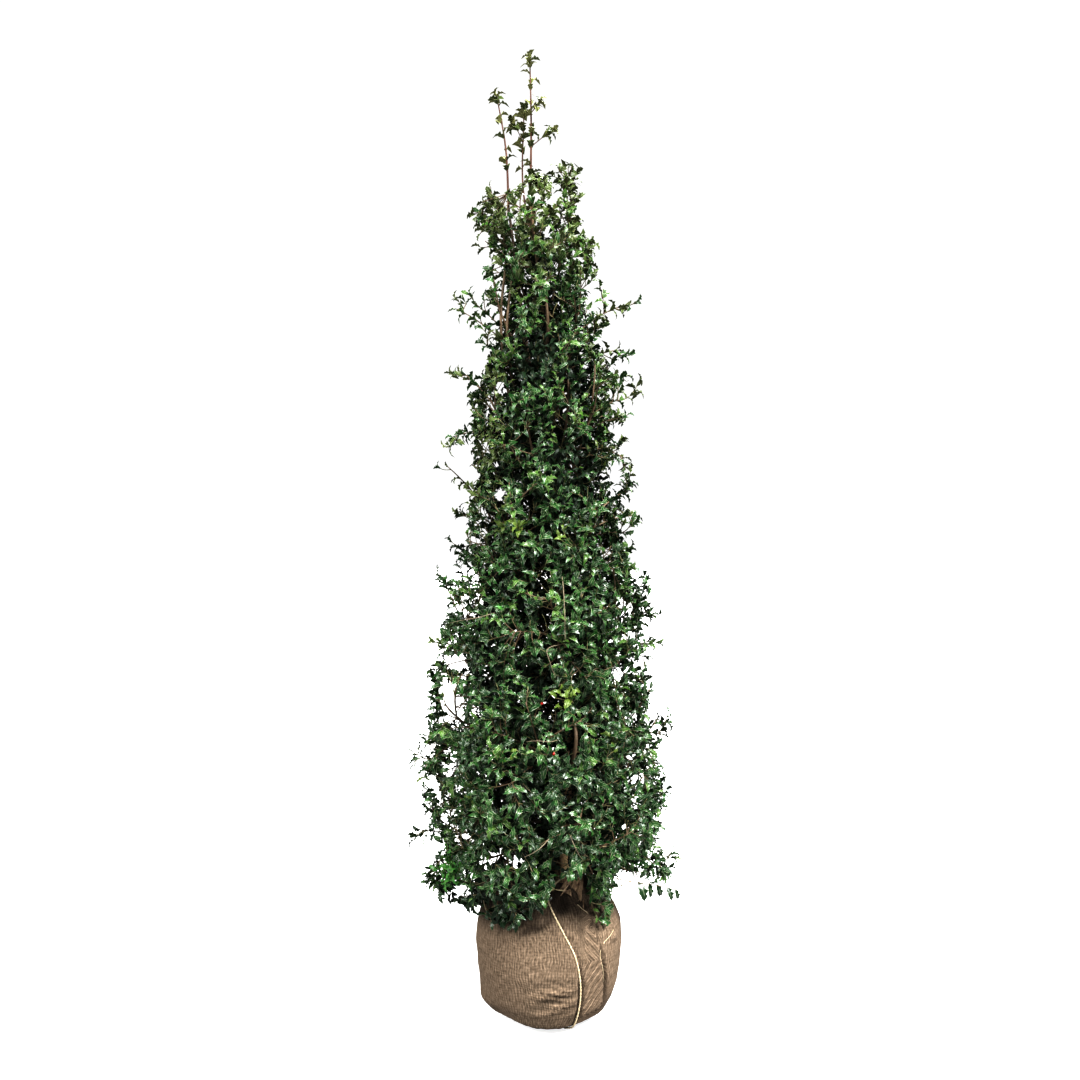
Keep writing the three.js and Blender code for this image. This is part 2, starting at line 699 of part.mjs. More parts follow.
// A leaf beside a shoot, or nothing where it would leave its space or touch a limb.
function sideLeaf(base, along, length, index, owner) {
  const up = upFor(base, index);
  const tip = base.clone().addScaledVector(along, length).addScaledVector(up, -leaf.droop * length);
  if (!bladeInSpace(owner, base, tip, up)) return [];
  const heading = tip.clone().sub(base);
  const solid = loft([pointRing(base), ...bladeRings(base, tip, up)], heading, up);
  return free(solid, keepClear) ? [solid] : [];
}

// The leaves along a shoot, set round it by the golden angle.
function leavesOn(line, shares, length, angle, index, owner) {
  return shares.flatMap((share, i) => {
    const { point, tangent } = placeOn(line, share);
    const turn = (index + i) * goldenAngle + 2 * chance(index, 4);
    const along = leafHeading(tangent, turn, radians(angle));
    const size = length * (leaf.sizes[0] + (leaf.sizes[1] - leaf.sizes[0]) * chance(index * 3 + i, 6));
    return sideLeaf(point, along, size, index + i, owner);
  });
}

// A faceted lump inside a dense mass: each corner goes out from the lower stem as far as
// the mass's own space and the crown's inner part allow.
function coreSolid(owner) {
  const centre = placeOn(owner.line, core.from).point;
  const geometry = new THREE.OctahedronGeometry(1, 1);
  const probe = new THREE.Vector3();
  const isInside = () => {
    const middle = reading(probe.z, crown.axisHeights, crown.axisX);
    const azimuth = Math.atan2(probe.y, probe.x - middle);
    const share = Math.hypot(probe.x - middle, probe.y) / crownRadius(azimuth, probe.z);
    const isWithin = share > core.inner && share < core.outer && probe.z > core.lowest;
    return isWithin && inSpace(owner, probe, core.clearance);
  };
  return solidOf(reshaped(geometry, (p) => {
    const heading = p.clone().normalize();
    let reach = 0;
    do {
      reach += core.step;
      probe.copy(centre).addScaledVector(heading, reach);
    } while (reach < core.reach && isInside());
    p.copy(centre).addScaledVector(heading, reach);
  }));
}

// A twig that flows into the leaf at its end.
function twigSolid({ line, tip, index }) {
  const end = line[line.length - 1];
  const up = upFor(end, index);
  const radius = taper(twig.foot, twig.tip);
  const rings = line.map((middle, i) => roundRing(middle, radius(i / twig.steps)));
  return loft([...rings, ...bladeRings(end, tip, up)], tip.clone().sub(line[0]), up);
}

// Each mass gets the tips that lie in its space. Its twigs leave the stem evenly spaced,
// in the order in which their tips lie along it.
const tips = [
  ...farTips.map(vector),
  ...spiralTips(crown.tips, crown.heights[0], crown.heights[crown.heights.length - 1], 3),
  ...spiralTips(crown.topTips, crown.topFrom, crown.heights[crown.heights.length - 1], 11),
];
const tipsOf = new Map(stems.map((one) => [one, []]));
tips.forEach((tip, index) => tipsOf.get(ownerOf(tip)).push({ tip, index }));

function spraysOf(owner) {
  const own = tipsOf.get(owner);
  for (const one of own) one.share = nearestShare(owner.line, one.tip);
  own.sort((a, b) => a.share - b.share || a.tip.z - b.tip.z);
  return own.flatMap(({ tip, index }, i) => {
    const share = twig.first + (1 - twig.first) * ((i + 0.7) / own.length);
    const spray = sprayTo(tip, owner, share, index);
    const isOwn = [0.4, 0.7, 1].every((t) => inSpace(owner, placeOn(spray.line, t).point, spaceClearance));
    const end = spray.line[spray.line.length - 1];
    if (!isOwn || !bladeInSpace(owner, end, tip, upFor(end, index))) return [];
    spray.solid = twigSolid(spray);
    return free(spray.solid, keepClear) ? [spray] : [];
  });
}

// Keeps the leaves that cross no other part of their mass but the twig they grow on.
function uncrossed(leaves, rest) {
  const kept = [];
  for (const one of leaves) {
    if ([...rest, ...kept].every((other) => free(one, other))) kept.push(one);
  }
  return kept;
}

function massSolid(owner, others) {
  const stemSolid = tube(owner.curve, owner.radiusAt, owner.sides, owner.steps);
  const own = spraysOf(owner);
  const pieces = [stemSolid];
  if (owner.hasCore) pieces.push(coreSolid(owner));
  const leaves = [];
  for (const spray of own) {
    const rest = own.filter((other) => other !== spray).map((other) => other.solid);
    const room = (spray.length * twig.leafy) / owner.leafLength;
    const count = Math.max(1, Math.min(leaf.most, Math.round(room)));
    const shares = Array.from({ length: count }, (_, i) => 1 - (i + 0.4) * (twig.leafy / count));
    const beside = leavesOn(spray.line, shares, owner.leafLength, leaf.angle, spray.index, owner);
    leaves.push(...uncrossed(beside, [...rest, ...leaves]));
  }
  if (owner.isLeader) {
    const length = owner.curve.getLength();
    const count = Math.floor((length * (1 - leader.bare)) / leaderLeaf.spacing);
    const along = Array.from({ length: count }, (_, i) => 1 - ((i + 0.8) * leaderLeaf.spacing) / length);
    const rosette = Array.from({ length: leaderLeaf.rosette }, (_, i) => (
      1 - (i * leaderLeaf.rosetteStep + leaderLeaf.rosetteFrom) / length
    ));
    const { point, tangent } = placeOn(owner.line, 1);
    leaves.push(...sideLeaf(point, tangent, leaderLeaf.tipLength, 7, owner));
    const crowded = leaderLeaf.length * leaderLeaf.rosetteShare;
    leaves.push(...leavesOn(owner.line, rosette, crowded, leaderLeaf.rosetteAngle, 5, owner));
    leaves.push(...leavesOn(owner.line, along, leaderLeaf.length, leaderLeaf.angle, 9, owner));
  }
  pieces.push(...own.map((spray) => spray.solid), ...leaves.filter((one) => free(one, others)));
  return largest(union(pieces).subtract(allGrown).subtract(others));
}

// ---- Assembly --------------------------------------------------------------

const holly = new THREE.Group();
holly.name = 'holly';

function add(name, solid, finish) {
  const mesh = new THREE.Mesh(geometryOf(solid), new THREE.MeshStandardMaterial(finish));
  mesh.name = name;
  holly.add(mesh);
}

add('root_ball', ballWhole, burlap);
add('burlap_collar', collarWhole, burlap);
add('ball_twine', twineWhole, twineFinish);
for (const [name, solid] of limbSolids) add(name, solid, bark);

let others = union([]);
for (const owner of stems) {
  const mass = massSolid(owner, others);
  add(owner.name, mass, owner.isLeader ? youngFoliage : foliage);
  others = union([others, mass]);
}

export default holly;
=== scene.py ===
import bpy
import numpy as np
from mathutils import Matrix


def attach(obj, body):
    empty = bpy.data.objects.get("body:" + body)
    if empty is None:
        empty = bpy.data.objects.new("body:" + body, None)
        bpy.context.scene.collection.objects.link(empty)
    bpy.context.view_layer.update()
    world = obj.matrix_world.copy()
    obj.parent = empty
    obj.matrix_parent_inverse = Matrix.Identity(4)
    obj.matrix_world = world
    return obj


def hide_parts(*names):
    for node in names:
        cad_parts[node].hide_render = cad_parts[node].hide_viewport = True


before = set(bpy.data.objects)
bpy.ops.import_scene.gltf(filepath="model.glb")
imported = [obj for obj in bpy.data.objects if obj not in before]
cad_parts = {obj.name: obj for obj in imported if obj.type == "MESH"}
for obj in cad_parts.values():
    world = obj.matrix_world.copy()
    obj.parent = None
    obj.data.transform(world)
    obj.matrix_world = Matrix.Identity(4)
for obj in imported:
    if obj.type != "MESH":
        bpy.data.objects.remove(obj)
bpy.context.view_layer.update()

# A narrow holly on its root ball. Everything is worked out in millimetres, +Z up, front
# towards -Y, and is written in metres.
toMetres = 0.001
goldenAngle = np.pi * (3 - np.sqrt(5))
upwards = np.array([0.0, 0.0, 1.0])
foliageNodes = [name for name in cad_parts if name.startswith("foliage")]
leaderNodes = [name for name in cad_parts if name.startswith("leading")]
boughNodes = [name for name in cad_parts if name.startswith("bough")]
uprightNodes = [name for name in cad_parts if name.startswith("upright")]


def chance(index, kind):
    # the fraction of a fast sine: looks random, and is the same each time
    wave = np.sin(np.asarray(index) * 12.9898 + kind * 78.233) * 43758.5453
    return wave - np.floor(wave)


def unit(vectors):
    return vectors / np.maximum(np.linalg.norm(vectors, axis=-1, keepdims=True), 1e-9)


def dot(a, b):
    return np.sum(a * b, axis=-1, keepdims=True)


def smoothStep(x, low, high):
    t = np.clip((x - low) / (high - low), 0, 1)
    return t * t * (3 - 2 * t)


def between(value, low, lowFull, highFull, high):
    # nought outside low and high, one between the two full places, smooth on both flanks
    return smoothStep(value, low, lowFull) * (1 - smoothStep(value, highFull, high))


def within(span, share):
    return span[0] + (span[1] - span[0]) * share


def mound(u, uMiddle, uSpread, v=0, vMiddle=0, vSpread=1):
    # one at a place, falling off around it as e to the minus squared distance
    return np.exp(-((u - uMiddle) / uSpread) ** 2 - ((v - vMiddle) / vSpread) ** 2)


def ripple(u, v, kind):
    # five crossed sine waves of falling size, as soft noise between -1 and 1
    total = 0
    for octave in range(5):
        turn = 1.3 + 2.4 * octave + kind
        across = u * np.cos(turn) + v * np.sin(turn)
        total = total + np.sin(1.75 ** octave * across + 4.1 * kind + octave) / (1 + octave)
    return total / 2.28


def lengthsAlong(points):
    # how far along a polyline each of its points lies
    return np.r_[0, np.cumsum(np.linalg.norm(np.diff(points, axis=0), axis=1))]


def evenly(points, count):
    # points at even distances along a dense polyline
    lengths = lengthsAlong(points)
    wanted = np.linspace(0, lengths[-1], count + 1)
    return np.stack([np.interp(wanted, lengths, points[:, axis]) for axis in range(3)], 1)


def throughStops(stops, count):
    # centripetal Catmull-Rom: each cubic's end slopes follow the square roots of the gaps
    stops = np.asarray(stops, float)
    padded = np.vstack([2 * stops[0] - stops[1], stops, 2 * stops[-1] - stops[-2]])
    gaps = np.sqrt(np.linalg.norm(np.diff(padded, axis=0), axis=1))
    t = np.linspace(0, 1, 41)[:, None]
    parts = []
    for i in range(len(stops) - 1):
        a, b, c, d = padded[i:i + 4]
        before, here, after = gaps[i:i + 3]
        first = ((b - a) / before - (c - a) / (before + here) + (c - b) / here) * here
        last = ((c - b) / here - (d - b) / (here + after) + (d - c) / after) * here
        parts.append(
            b + first * t + (3 * (c - b) - 2 * first - last) * t ** 2
            + (2 * (b - c) + first + last) * t ** 3
        )
    return evenly(np.vstack(parts), count)


def bowed(a, b, c, count):
    # quadratic curves from a to c that bow towards b, for one curve or many at once
    t = np.linspace(0, 1, count + 1)[:, None]
    a, b, c = (np.asarray(p, float)[..., None, :] for p in (a, b, c))
    return (1 - t) ** 2 * a + 2 * t * (1 - t) * b + t ** 2 * c


def placesOn(lines, which, shares):
    # points and directions on curves (n, k, 3) at shares of their length
    along = np.clip(shares, 0, 0.9999) * (lines.shape[1] - 1)
    step = np.floor(along).astype(int)
    low, high = lines[which, step], lines[which, step + 1]
    return low + (high - low) * (along - step)[..., None], unit(high - low)


def turnedAround(heading, turn):
    # the direction across a heading, at an angle round it
    side = unit(np.cross(heading, upwards + 1e-3))
    over = np.cross(side, heading)
    return side * np.cos(turn)[:, None] + over * np.sin(turn)[:, None]


def framesAlong(lines):
    # two vectors across each curve's direction that are carried on without twist
    tangents = unit(np.gradient(lines, axis=1))
    steep = np.abs(tangents[:, :1, 2:]) > 0.9
    side = unit(np.cross(tangents[:, 0], np.where(steep[:, 0], [[1.0, 0, 0]], [[0, 0, 1.0]])))
    sides = [side]
    for step in range(1, lines.shape[1]):
        here = tangents[:, step]
        side = unit(side - here * dot(side, here))
        sides.append(side)
    sides = np.stack(sides, 1)
    return sides, np.cross(tangents, sides)


def ringQuads(rings, around, isLooped=False):
    # faces of four points between neighbouring rings, and from the last ring to the first
    # where they are looped
    bands = rings if isLooped else rings - 1
    row, column = np.meshgrid(np.arange(bands), np.arange(around), indexing="ij")
    here, above = row * around, (row + 1) % rings * around
    after = (column + 1) % around
    return np.stack([here + column, here + after, above + after, above + column], -1).reshape(-1, 4)


def tubes(lines, radii, around):
    # closed tubes: on each ring, centre + radius * (cos angle * side + sin angle * over);
    # radii are (n, k) or, with a relief, (n, k, around)
    count, rings = lines.shape[:2]
    sides, overs = framesAlong(lines)
    angles = np.arange(around) * 2 * np.pi / around
    radii = radii[..., None] if radii.ndim == 2 else radii
    points = (
        lines[:, :, None] + (radii * np.cos(angles))[..., None] * sides[:, :, None]
        + (radii * np.sin(angles))[..., None] * overs[:, :, None]
    )
    quads = ringQuads(rings, around)
    fan = np.arange(1, around - 1)
    last = (rings - 1) * around
    caps = np.vstack([
        np.stack([0 * fan, fan + 1, fan], 1),
        np.stack([0 * fan, fan, fan + 1], 1) + last,
    ])
    offsets = (np.arange(count) * rings * around)[:, None, None]
    return points.reshape(-1, 3), [(quads + offsets).reshape(-1, 4), (caps + offsets).reshape(-1, 3)]


def joined(meshes):
    # several (points, face sets) as one
    points, faces, start = [], [], 0
    for somePoints, someFaces in meshes:
        points.append(somePoints)
        faces += [f + start for f in someFaces]
        start += len(somePoints)
    return np.vstack(points), faces


def makePiece(name, mesh, materials, nodes=(), uv=None, lower=None, sharp=None, folds=None):
    # writes points and faces in one go; lower tells the faces of the second material, and
    # sharp says which edges, by their two points, keep a crease; folds is a number per
    # point of painted shade and light on the cloth: below nought it darkens it, above nought it lightens it
    points, faceSets = mesh
    data = bpy.data.meshes.new(name)
    loops = np.concatenate([f.reshape(-1) for f in faceSets]).astype(np.int32)
    totals = np.concatenate([np.full(len(f), f.shape[1]) for f in faceSets]).astype(np.int32)
    data.vertices.add(len(points))
    data.vertices.foreach_set("co", (points * toMetres).astype(np.float32).ravel())
    data.loops.add(len(loops))
    data.loops.foreach_set("vertex_index", loops)
    data.polygons.add(len(totals))
    data.polygons.foreach_set("loop_start", np.r_[0, np.cumsum(totals)[:-1]].astype(np.int32))
    data.polygons.foreach_set("use_smooth", np.ones(len(totals), bool))
    if lower is not None:
        data.polygons.foreach_set("material_index", lower.astype(np.int32))
    data.update(calc_edges=True)
    if uv is not None:
        layer = data.uv_layers.new(name="lay")
        layer.data.foreach_set("uv", uv[loops].astype(np.float32).ravel())
    if sharp is not None:
        ends = np.empty(len(data.edges) * 2, np.int32)
        data.edges.foreach_get("vertices", ends)
        crease = data.attributes.new("sharp_edge", "BOOLEAN", "EDGE")
        crease.data.foreach_set("value", sharp(ends.reshape(-1, 2)))
    if folds is not None:
        data.attributes.new("fold", "FLOAT", "POINT").data.foreach_set("value", folds.astype(np.float32))
    for material in materials:
        data.materials.append(material)
    piece = bpy.data.objects.new(name, data)
    bpy.context.scene.collection.objects.link(piece)
    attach(piece, "root")
    if len(nodes):
        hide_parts(*nodes)
    print(name, len(points), "points", int(np.sum(totals - 2)), "triangles")
    return piece


def startMaterial(name, roughness, baseColor):
    material = bpy.data.materials.new(name)
    material.use_nodes = True
    material.diffuse_color = (*baseColor, 1)
    shader = material.node_tree.nodes["Principled BSDF"]
    shader.inputs["Base Color"].default_value = (*baseColor, 1)
    shader.inputs["Roughness"].default_value = roughness
    return material, material.node_tree, shader


def startGroup(name, inputs, outputs):
    group = bpy.data.node_groups.new(name, "ShaderNodeTree")
    for socket, kind, value in inputs:
        made = group.interface.new_socket(name=socket, in_out="INPUT", socket_type=kind)
        if value is not None:
            made.default_value = value
    for socket, kind in outputs:
        group.interface.new_socket(name=socket, in_out="OUTPUT", socket_type=kind)
    return group, group.nodes.new("NodeGroupInput"), group.nodes.new("NodeGroupOutput")


def noiseNode(tree, vector, scale, detail=3.0):
    node = tree.nodes.new("ShaderNodeTexNoise")
    node.inputs["Scale"].default_value = scale
    node.inputs["Detail"].default_value = detail
    tree.links.new(vector, node.inputs["Vector"])
    return node.outputs["Fac"]


def mathNode(tree, operation, a, b=None, clamp=False):
    node = tree.nodes.new("ShaderNodeMath")
    node.operation = operation
    node.use_clamp = clamp
    for socket, value in zip(node.inputs, (a, b)):
        if value is None:
            continue
        if isinstance(value, (int, float)):
            socket.default_value = value
        else:
            tree.links.new(value, socket)
    return node.outputs[0]


def mixColors(tree, share, a, b):
    node = tree.nodes.new("ShaderNodeMix")
    node.data_type = "RGBA"
    tree.links.new(share, node.inputs["Factor"])
    for socket, value in ((node.inputs[6], a), (node.inputs[7], b)):
        if isinstance(value, tuple):
            socket.default_value = (*value, 1)
        else:
            tree.links.new(value, socket)
    return node.outputs[2]


def spreadNode(tree, value, low, high, toLow=0.0, toHigh=1.0):
    node = tree.nodes.new("ShaderNodeMapRange")
    for socket, number in zip(("From Min", "From Max", "To Min", "To Max"), (low, high, toLow, toHigh)):
        node.inputs[socket].default_value = number
    tree.links.new(value, node.inputs["Value"])
    return node.outputs["Result"]


def mottleGroup():
    # two colours in soft patches, and the roughness that goes with them
    group, given, put = startGroup("mottle", [
        ("Vector", "NodeSocketVector", None), ("Plain", "NodeSocketColor", (0.1, 0.1, 0.1, 1)),
        ("Other", "NodeSocketColor", (0.2, 0.2, 0.2, 1)), ("Patch", "NodeSocketFloat", 20.0),
        ("Smooth", "NodeSocketFloat", 0.3), ("Rough", "NodeSocketFloat", 0.5),
    ], [("Color", "NodeSocketColor"), ("Roughness", "NodeSocketFloat")])
    noise = group.nodes.new("ShaderNodeTexNoise")
    noise.inputs["Detail"].default_value = 4
    group.links.new(given.outputs["Vector"], noise.inputs["Vector"])
    group.links.new(given.outputs["Patch"], noise.inputs["Scale"])
    share = spreadNode(group, noise.outputs["Fac"], 0.36, 0.64)
    color = mixColors(group, share, given.outputs["Plain"], given.outputs["Other"])
    rough = group.nodes.new("ShaderNodeMix")
    group.links.new(share, rough.inputs["Factor"])
    group.links.new(given.outputs["Smooth"], rough.inputs[2])
    group.links.new(given.outputs["Rough"], rough.inputs[3])
    group.links.new(color, put.inputs["Color"])
    group.links.new(rough.outputs[0], put.inputs["Roughness"])
    return group


def threadGroup():
    # ribs along the cloth and fainter ones across it: each is the sine of the place over
    # the pitch, bent by noise, times drawn-out noise that breaks it up
    group, given, put = startGroup("threads", [
        ("Lay", "NodeSocketVector", None), ("Pitch", "NodeSocketFloat", 0.0036),
    ], [("Height", "NodeSocketFloat"), ("Streak", "NodeSocketFloat")])
    split = group.nodes.new("ShaderNodeSeparateXYZ")
    group.links.new(given.outputs["Lay"], split.inputs[0])
    wander = spreadNode(group, noiseNode(group, given.outputs["Lay"], 11.0, 2.0), 0.3, 0.7, -0.8, 0.8)
    grit = noiseNode(group, given.outputs["Lay"], 330.0, 2.0)
    heights = [mathNode(group, "MULTIPLY", grit, 0.3)]
    streaks = []
    for across, along, part in (("X", "Y", 0.72), ("Y", "X", 0.28)):
        turns = mathNode(group, "DIVIDE", split.outputs[across], given.outputs["Pitch"])
        turns = mathNode(group, "ADD", turns, wander)
        wave = mathNode(group, "SINE", mathNode(group, "MULTIPLY", turns, 2 * np.pi))
        wave = spreadNode(group, wave, -1, 1)
        spot = group.nodes.new("ShaderNodeCombineXYZ")
        group.links.new(mathNode(group, "MULTIPLY", turns, 2.3), spot.inputs[0])
        group.links.new(mathNode(group, "MULTIPLY", split.outputs[along], 60.0), spot.inputs[1])
        slub = noiseNode(group, spot.outputs[0], 1.0, 4.0)
        streaks.append(mathNode(group, "MULTIPLY", slub, part))
        heights.append(mathNode(group, "MULTIPLY", mathNode(group, "MULTIPLY", wave, slub), part))
    ribs = mathNode(group, "ADD", heights[1], heights[2])
    group.links.new(mathNode(group, "ADD", ribs, heights[0]), put.inputs["Height"])
    group.links.new(mathNode(group, "ADD", *streaks), put.inputs["Streak"])
    return group


mottle = mottleGroup()
threads = threadGroup()


def useGroup(tree, group, vector, **values):
    node = tree.nodes.new("ShaderNodeGroup")
    node.node_tree = group
    tree.links.new(vector, node.inputs[0])
    for name, value in values.items():
        node.inputs[name].default_value = (*value, 1) if isinstance(value, tuple) else value
    return node


def objectCoordinates(tree):
    return tree.nodes.new("ShaderNodeTexCoord").outputs["Object"]


def bumpFrom(tree, shader, height, strength, distance):
    bump = tree.nodes.new("ShaderNodeBump")
    bump.inputs["Strength"].default_value = strength
    bump.inputs["Distance"].default_value = distance
    tree.links.new(height, bump.inputs["Height"])
    tree.links.new(bump.outputs["Normal"], shader.inputs["Normal"])


def bladeGroup():
    # the blade's colour: paler along the midrib, its own colour, and a pale rim that is a painted highlight
    # of the edge catching light
    group, given, put = startGroup("blade", [
        ("Lay", "NodeSocketVector", None), ("Color", "NodeSocketColor", (0.02, 0.06, 0.02, 1)),
        ("Pale", "NodeSocketColor", (0.2, 0.3, 0.1, 1)),
    ], [("Color", "NodeSocketColor")])
    split = group.nodes.new("ShaderNodeSeparateXYZ")
    group.links.new(given.outputs["Lay"], split.inputs[0])
    rib = spreadNode(group, split.outputs["X"], 0.04, 0.14, 0.5, 0.0)
    rim = spreadNode(group, split.outputs["X"], 0.78, 0.96, 0.0, 0.9)
    share = mathNode(group, "MAXIMUM", rib, rim)
    paleRibAndRimHighlight = mixColors(group, share, given.outputs["Color"], given.outputs["Pale"])
    group.links.new(paleRibAndRimHighlight, put.inputs["Color"])
    return group


blade = bladeGroup()


def leafMaterial(name, plain, other, paleRibAndRimHighlight, smooth, rough, coat):
    material, tree, shader = startMaterial(name, smooth, plain)
    coordinates = tree.nodes.new("ShaderNodeTexCoord")
    place = coordinates.outputs["Object"]
    tone = useGroup(tree, mottle, place, Plain=plain, Other=other, Patch=34.0, Smooth=smooth, Rough=rough)
    marked = useGroup(tree, blade, coordinates.outputs["UV"], Pale=paleRibAndRimHighlight)
    tree.links.new(tone.outputs["Color"], marked.inputs["Color"])
    tree.links.new(marked.outputs["Color"], shader.inputs["Base Color"])
    tree.links.new(tone.outputs["Roughness"], shader.inputs["Roughness"])
    shader.inputs["Specular IOR Level"].default_value = 0.3
    shader.inputs["Coat Weight"].default_value = coat
    shader.inputs["Coat Roughness"].default_value = 0.26
    bumpFrom(tree, shader, noiseNode(tree, place, 240.0, 1.0), 0.25, 0.0012)
    return material


def barkMaterial(name, plain, other, rough, grain):
    material, tree, shader = startMaterial(name, rough, plain)
    place = objectCoordinates(tree)
    stretch = tree.nodes.new("ShaderNodeMapping")
    stretch.inputs["Scale"].default_value = (1.0, 1.0, 0.3)
    tree.links.new(place, stretch.inputs["Vector"])
    drawnOut = stretch.outputs["Vector"]
    tone = useGroup(
        tree, mottle, drawnOut, Plain=plain, Other=other, Patch=grain, Smooth=rough - 0.1, Rough=rough,
    )
    tree.links.new(tone.outputs["Color"], shader.inputs["Base Color"])
    tree.links.new(tone.outputs["Roughness"], shader.inputs["Roughness"])
    bumpFrom(tree, shader, noiseNode(tree, drawnOut, 420.0, 4.0), 0.5, 0.0012)
    return material


# the heights in metres between which the crown's painted shadow comes in at the ball's top, and how deep the
# painted shade in the creases goes
cloth = {"pitch": 0.0084, "bump": 0.0020, "shadowFrom": 0.295, "shadowTo": 0.36, "paintedShadeDepth": 0.5}


def jute(name, dark, middle, light, topShadow):
    # streaky threads in soft blotches, darker between them; painted shade in the folds and painted light past
    # the twine, from the fold attribute;
    # and a painted shadow of the crown that darkens the cloth towards the top of the ball, down to the share
    # given last
    material, tree, shader = startMaterial(name, 0.95, middle)
    lay = tree.nodes.new("ShaderNodeTexCoord").outputs["UV"]
    woven = useGroup(tree, threads, lay, Pitch=cloth["pitch"])
    streaky = mixColors(tree, spreadNode(tree, woven.outputs["Streak"], 0.34, 0.66), dark, light)
    blotch = spreadNode(tree, noiseNode(tree, objectCoordinates(tree), 9.0, 5.0), 0.35, 0.68)
    soft = mixColors(tree, mathNode(tree, "MULTIPLY", blotch, 0.4), streaky, middle)
    holes = spreadNode(tree, woven.outputs["Height"], 0.22, 0.58, 0.72, 1.06)
    split = tree.nodes.new("ShaderNodeSeparateXYZ")
    tree.links.new(objectCoordinates(tree), split.inputs[0])
    # painted shadow of the crown: the colour falls towards the top of the ball, its edge softened by the
    # blotches
    raised = mathNode(tree, "ADD", split.outputs["Z"], mathNode(tree, "MULTIPLY", blotch, 0.03))
    shadowed = spreadNode(tree, raised, cloth["shadowFrom"], cloth["shadowTo"], 1.0, topShadow)
    shade = tree.nodes.new("ShaderNodeVectorMath")
    shade.operation = "SCALE"
    tree.links.new(soft, shade.inputs[0])
    # the fold attribute is painted shade and light: the colour is scaled by one plus it times the depth
    fold = tree.nodes.new("ShaderNodeAttribute")
    fold.attribute_name = "fold"
    paintedShadeFactor = mathNode(tree, "MULTIPLY", fold.outputs["Fac"], cloth["paintedShadeDepth"])
    paintedShadeFactor = mathNode(tree, "ADD", paintedShadeFactor, 1.0)
    shadowed = mathNode(tree, "MULTIPLY", paintedShadeFactor, shadowed)
    tree.links.new(mathNode(tree, "MULTIPLY", holes, shadowed), shade.inputs["Scale"])
    tree.links.new(shade.outputs[0], shader.inputs["Base Color"])
    shader.inputs["Specular IOR Level"].default_value = 0.15
    bumpFrom(tree, shader, woven.outputs["Height"], 0.9, cloth["bump"])
    return material


crown = {
    "heights": [318, 430, 640, 900, 1180, 1460, 1740, 1930, 2090, 2300, 2420],
    "radii": [215, 318, 350, 336, 300, 256, 236, 224, 168, 160, 112],
    "axisHeights": [400, 2050, 2450], "axisX": [-15, -15, -52],
    "lobes": [0.05, 0.04], "lobeTwist": [170, 90],
    "tips": 136, "topTips": 18, "topFrom": 2090, "tipReach": 0.9,
}


def crownRadius(azimuth, z):
    # the outline's radius, with two-fold and five-fold lobes that turn with height
    twofold = crown["lobes"][0] * np.sin(2 * azimuth + z / crown["lobeTwist"][0])
    fivefold = crown["lobes"][1] * np.sin(5 * azimuth - z / crown["lobeTwist"][1])
    return np.interp(z, crown["heights"], crown["radii"]) * (1 + twofold + fivefold)


def crownAxis(z):
    return np.interp(z, crown["axisHeights"], crown["axisX"])


def aroundAxis(azimuth, radius, z):
    return np.stack([crownAxis(z) + radius * np.cos(azimuth), radius * np.sin(azimuth), z + 0 * radius], -1)


def crownPoint(azimuth, z, share):
    radius = crownRadius(azimuth, z) * share
    return aroundAxis(azimuth, radius, z)


def crownShare(points):
    x = points[..., 0] - crownAxis(points[..., 2])
    azimuth = np.arctan2(points[..., 1], x)
    return np.hypot(x, points[..., 1]) / crownRadius(azimuth, points[..., 2])


trunk = {
    "path": [(44, 0, 398), (45, -1, 440), (50, -2, 560), (58, -4, 830), (42, 2, 1120),
             (14, 6, 1600), (-12, 3, 2020), (-44, 0, 2290), (-54, 0, 2420)],
    "foot": 14, "tip": 4, "thinning": 0.85, "flare": 8, "flareHeight": 45, "ballTop": 404,
}
uprights = {
    "paths": [[(28, 4, 1330), (-10, -34, 1600), (-74, -34, 2030), (-118, -10, 2370)],
              [(22, 4, 1450), (62, 34, 1700), (62, 34, 2030), (62, 12, 2270)]],
    "foot": 6.5, "tip": 3.6,
}
tiers = [  # lowest foot, step from foot to foot, tips' height, count, first bearing, is on the trunk
    (486, 24, 520, 5, 18, False), (600, 38, 870, 5, 52, False), (800, 52, 1190, 4, 10, False),
    (1040, 60, 1500, 4, 58, False), (1330, 80, 1800, 3, 75, False), (1640, 80, 2070, 3, 90, True),
    (1960, 64, 2300, 3, 150, True),
]
boughs = {
    "reach": 0.3, "stemReach": 0.78, "rise": 0.36, "turnSpread": 0.25, "tipSpread": 50, "foot": 7,
    "tip": 3.8, "stemFoot": 4.2, "stemTip": 2.4, "steps": 60, "boughSteps": 40, "stemSteps": 24,
    "coarseSteps": 3,
}
leaders = {
    "paths": [[(-54, 0, 2420), (-52, 0, 2620), (-56, 0, 2816)],
              [(-118, -10, 2370), (-126, -8, 2540), (-153, -4, 2702)],
              [(-34, 2, 2220), (-76, 56, 2440), (-74, 62, 2680)],
              [(62, 12, 2270), (66, 8, 2370), (60, 4, 2450)]],
    "foot": 3.4, "tip": 1.5,
}

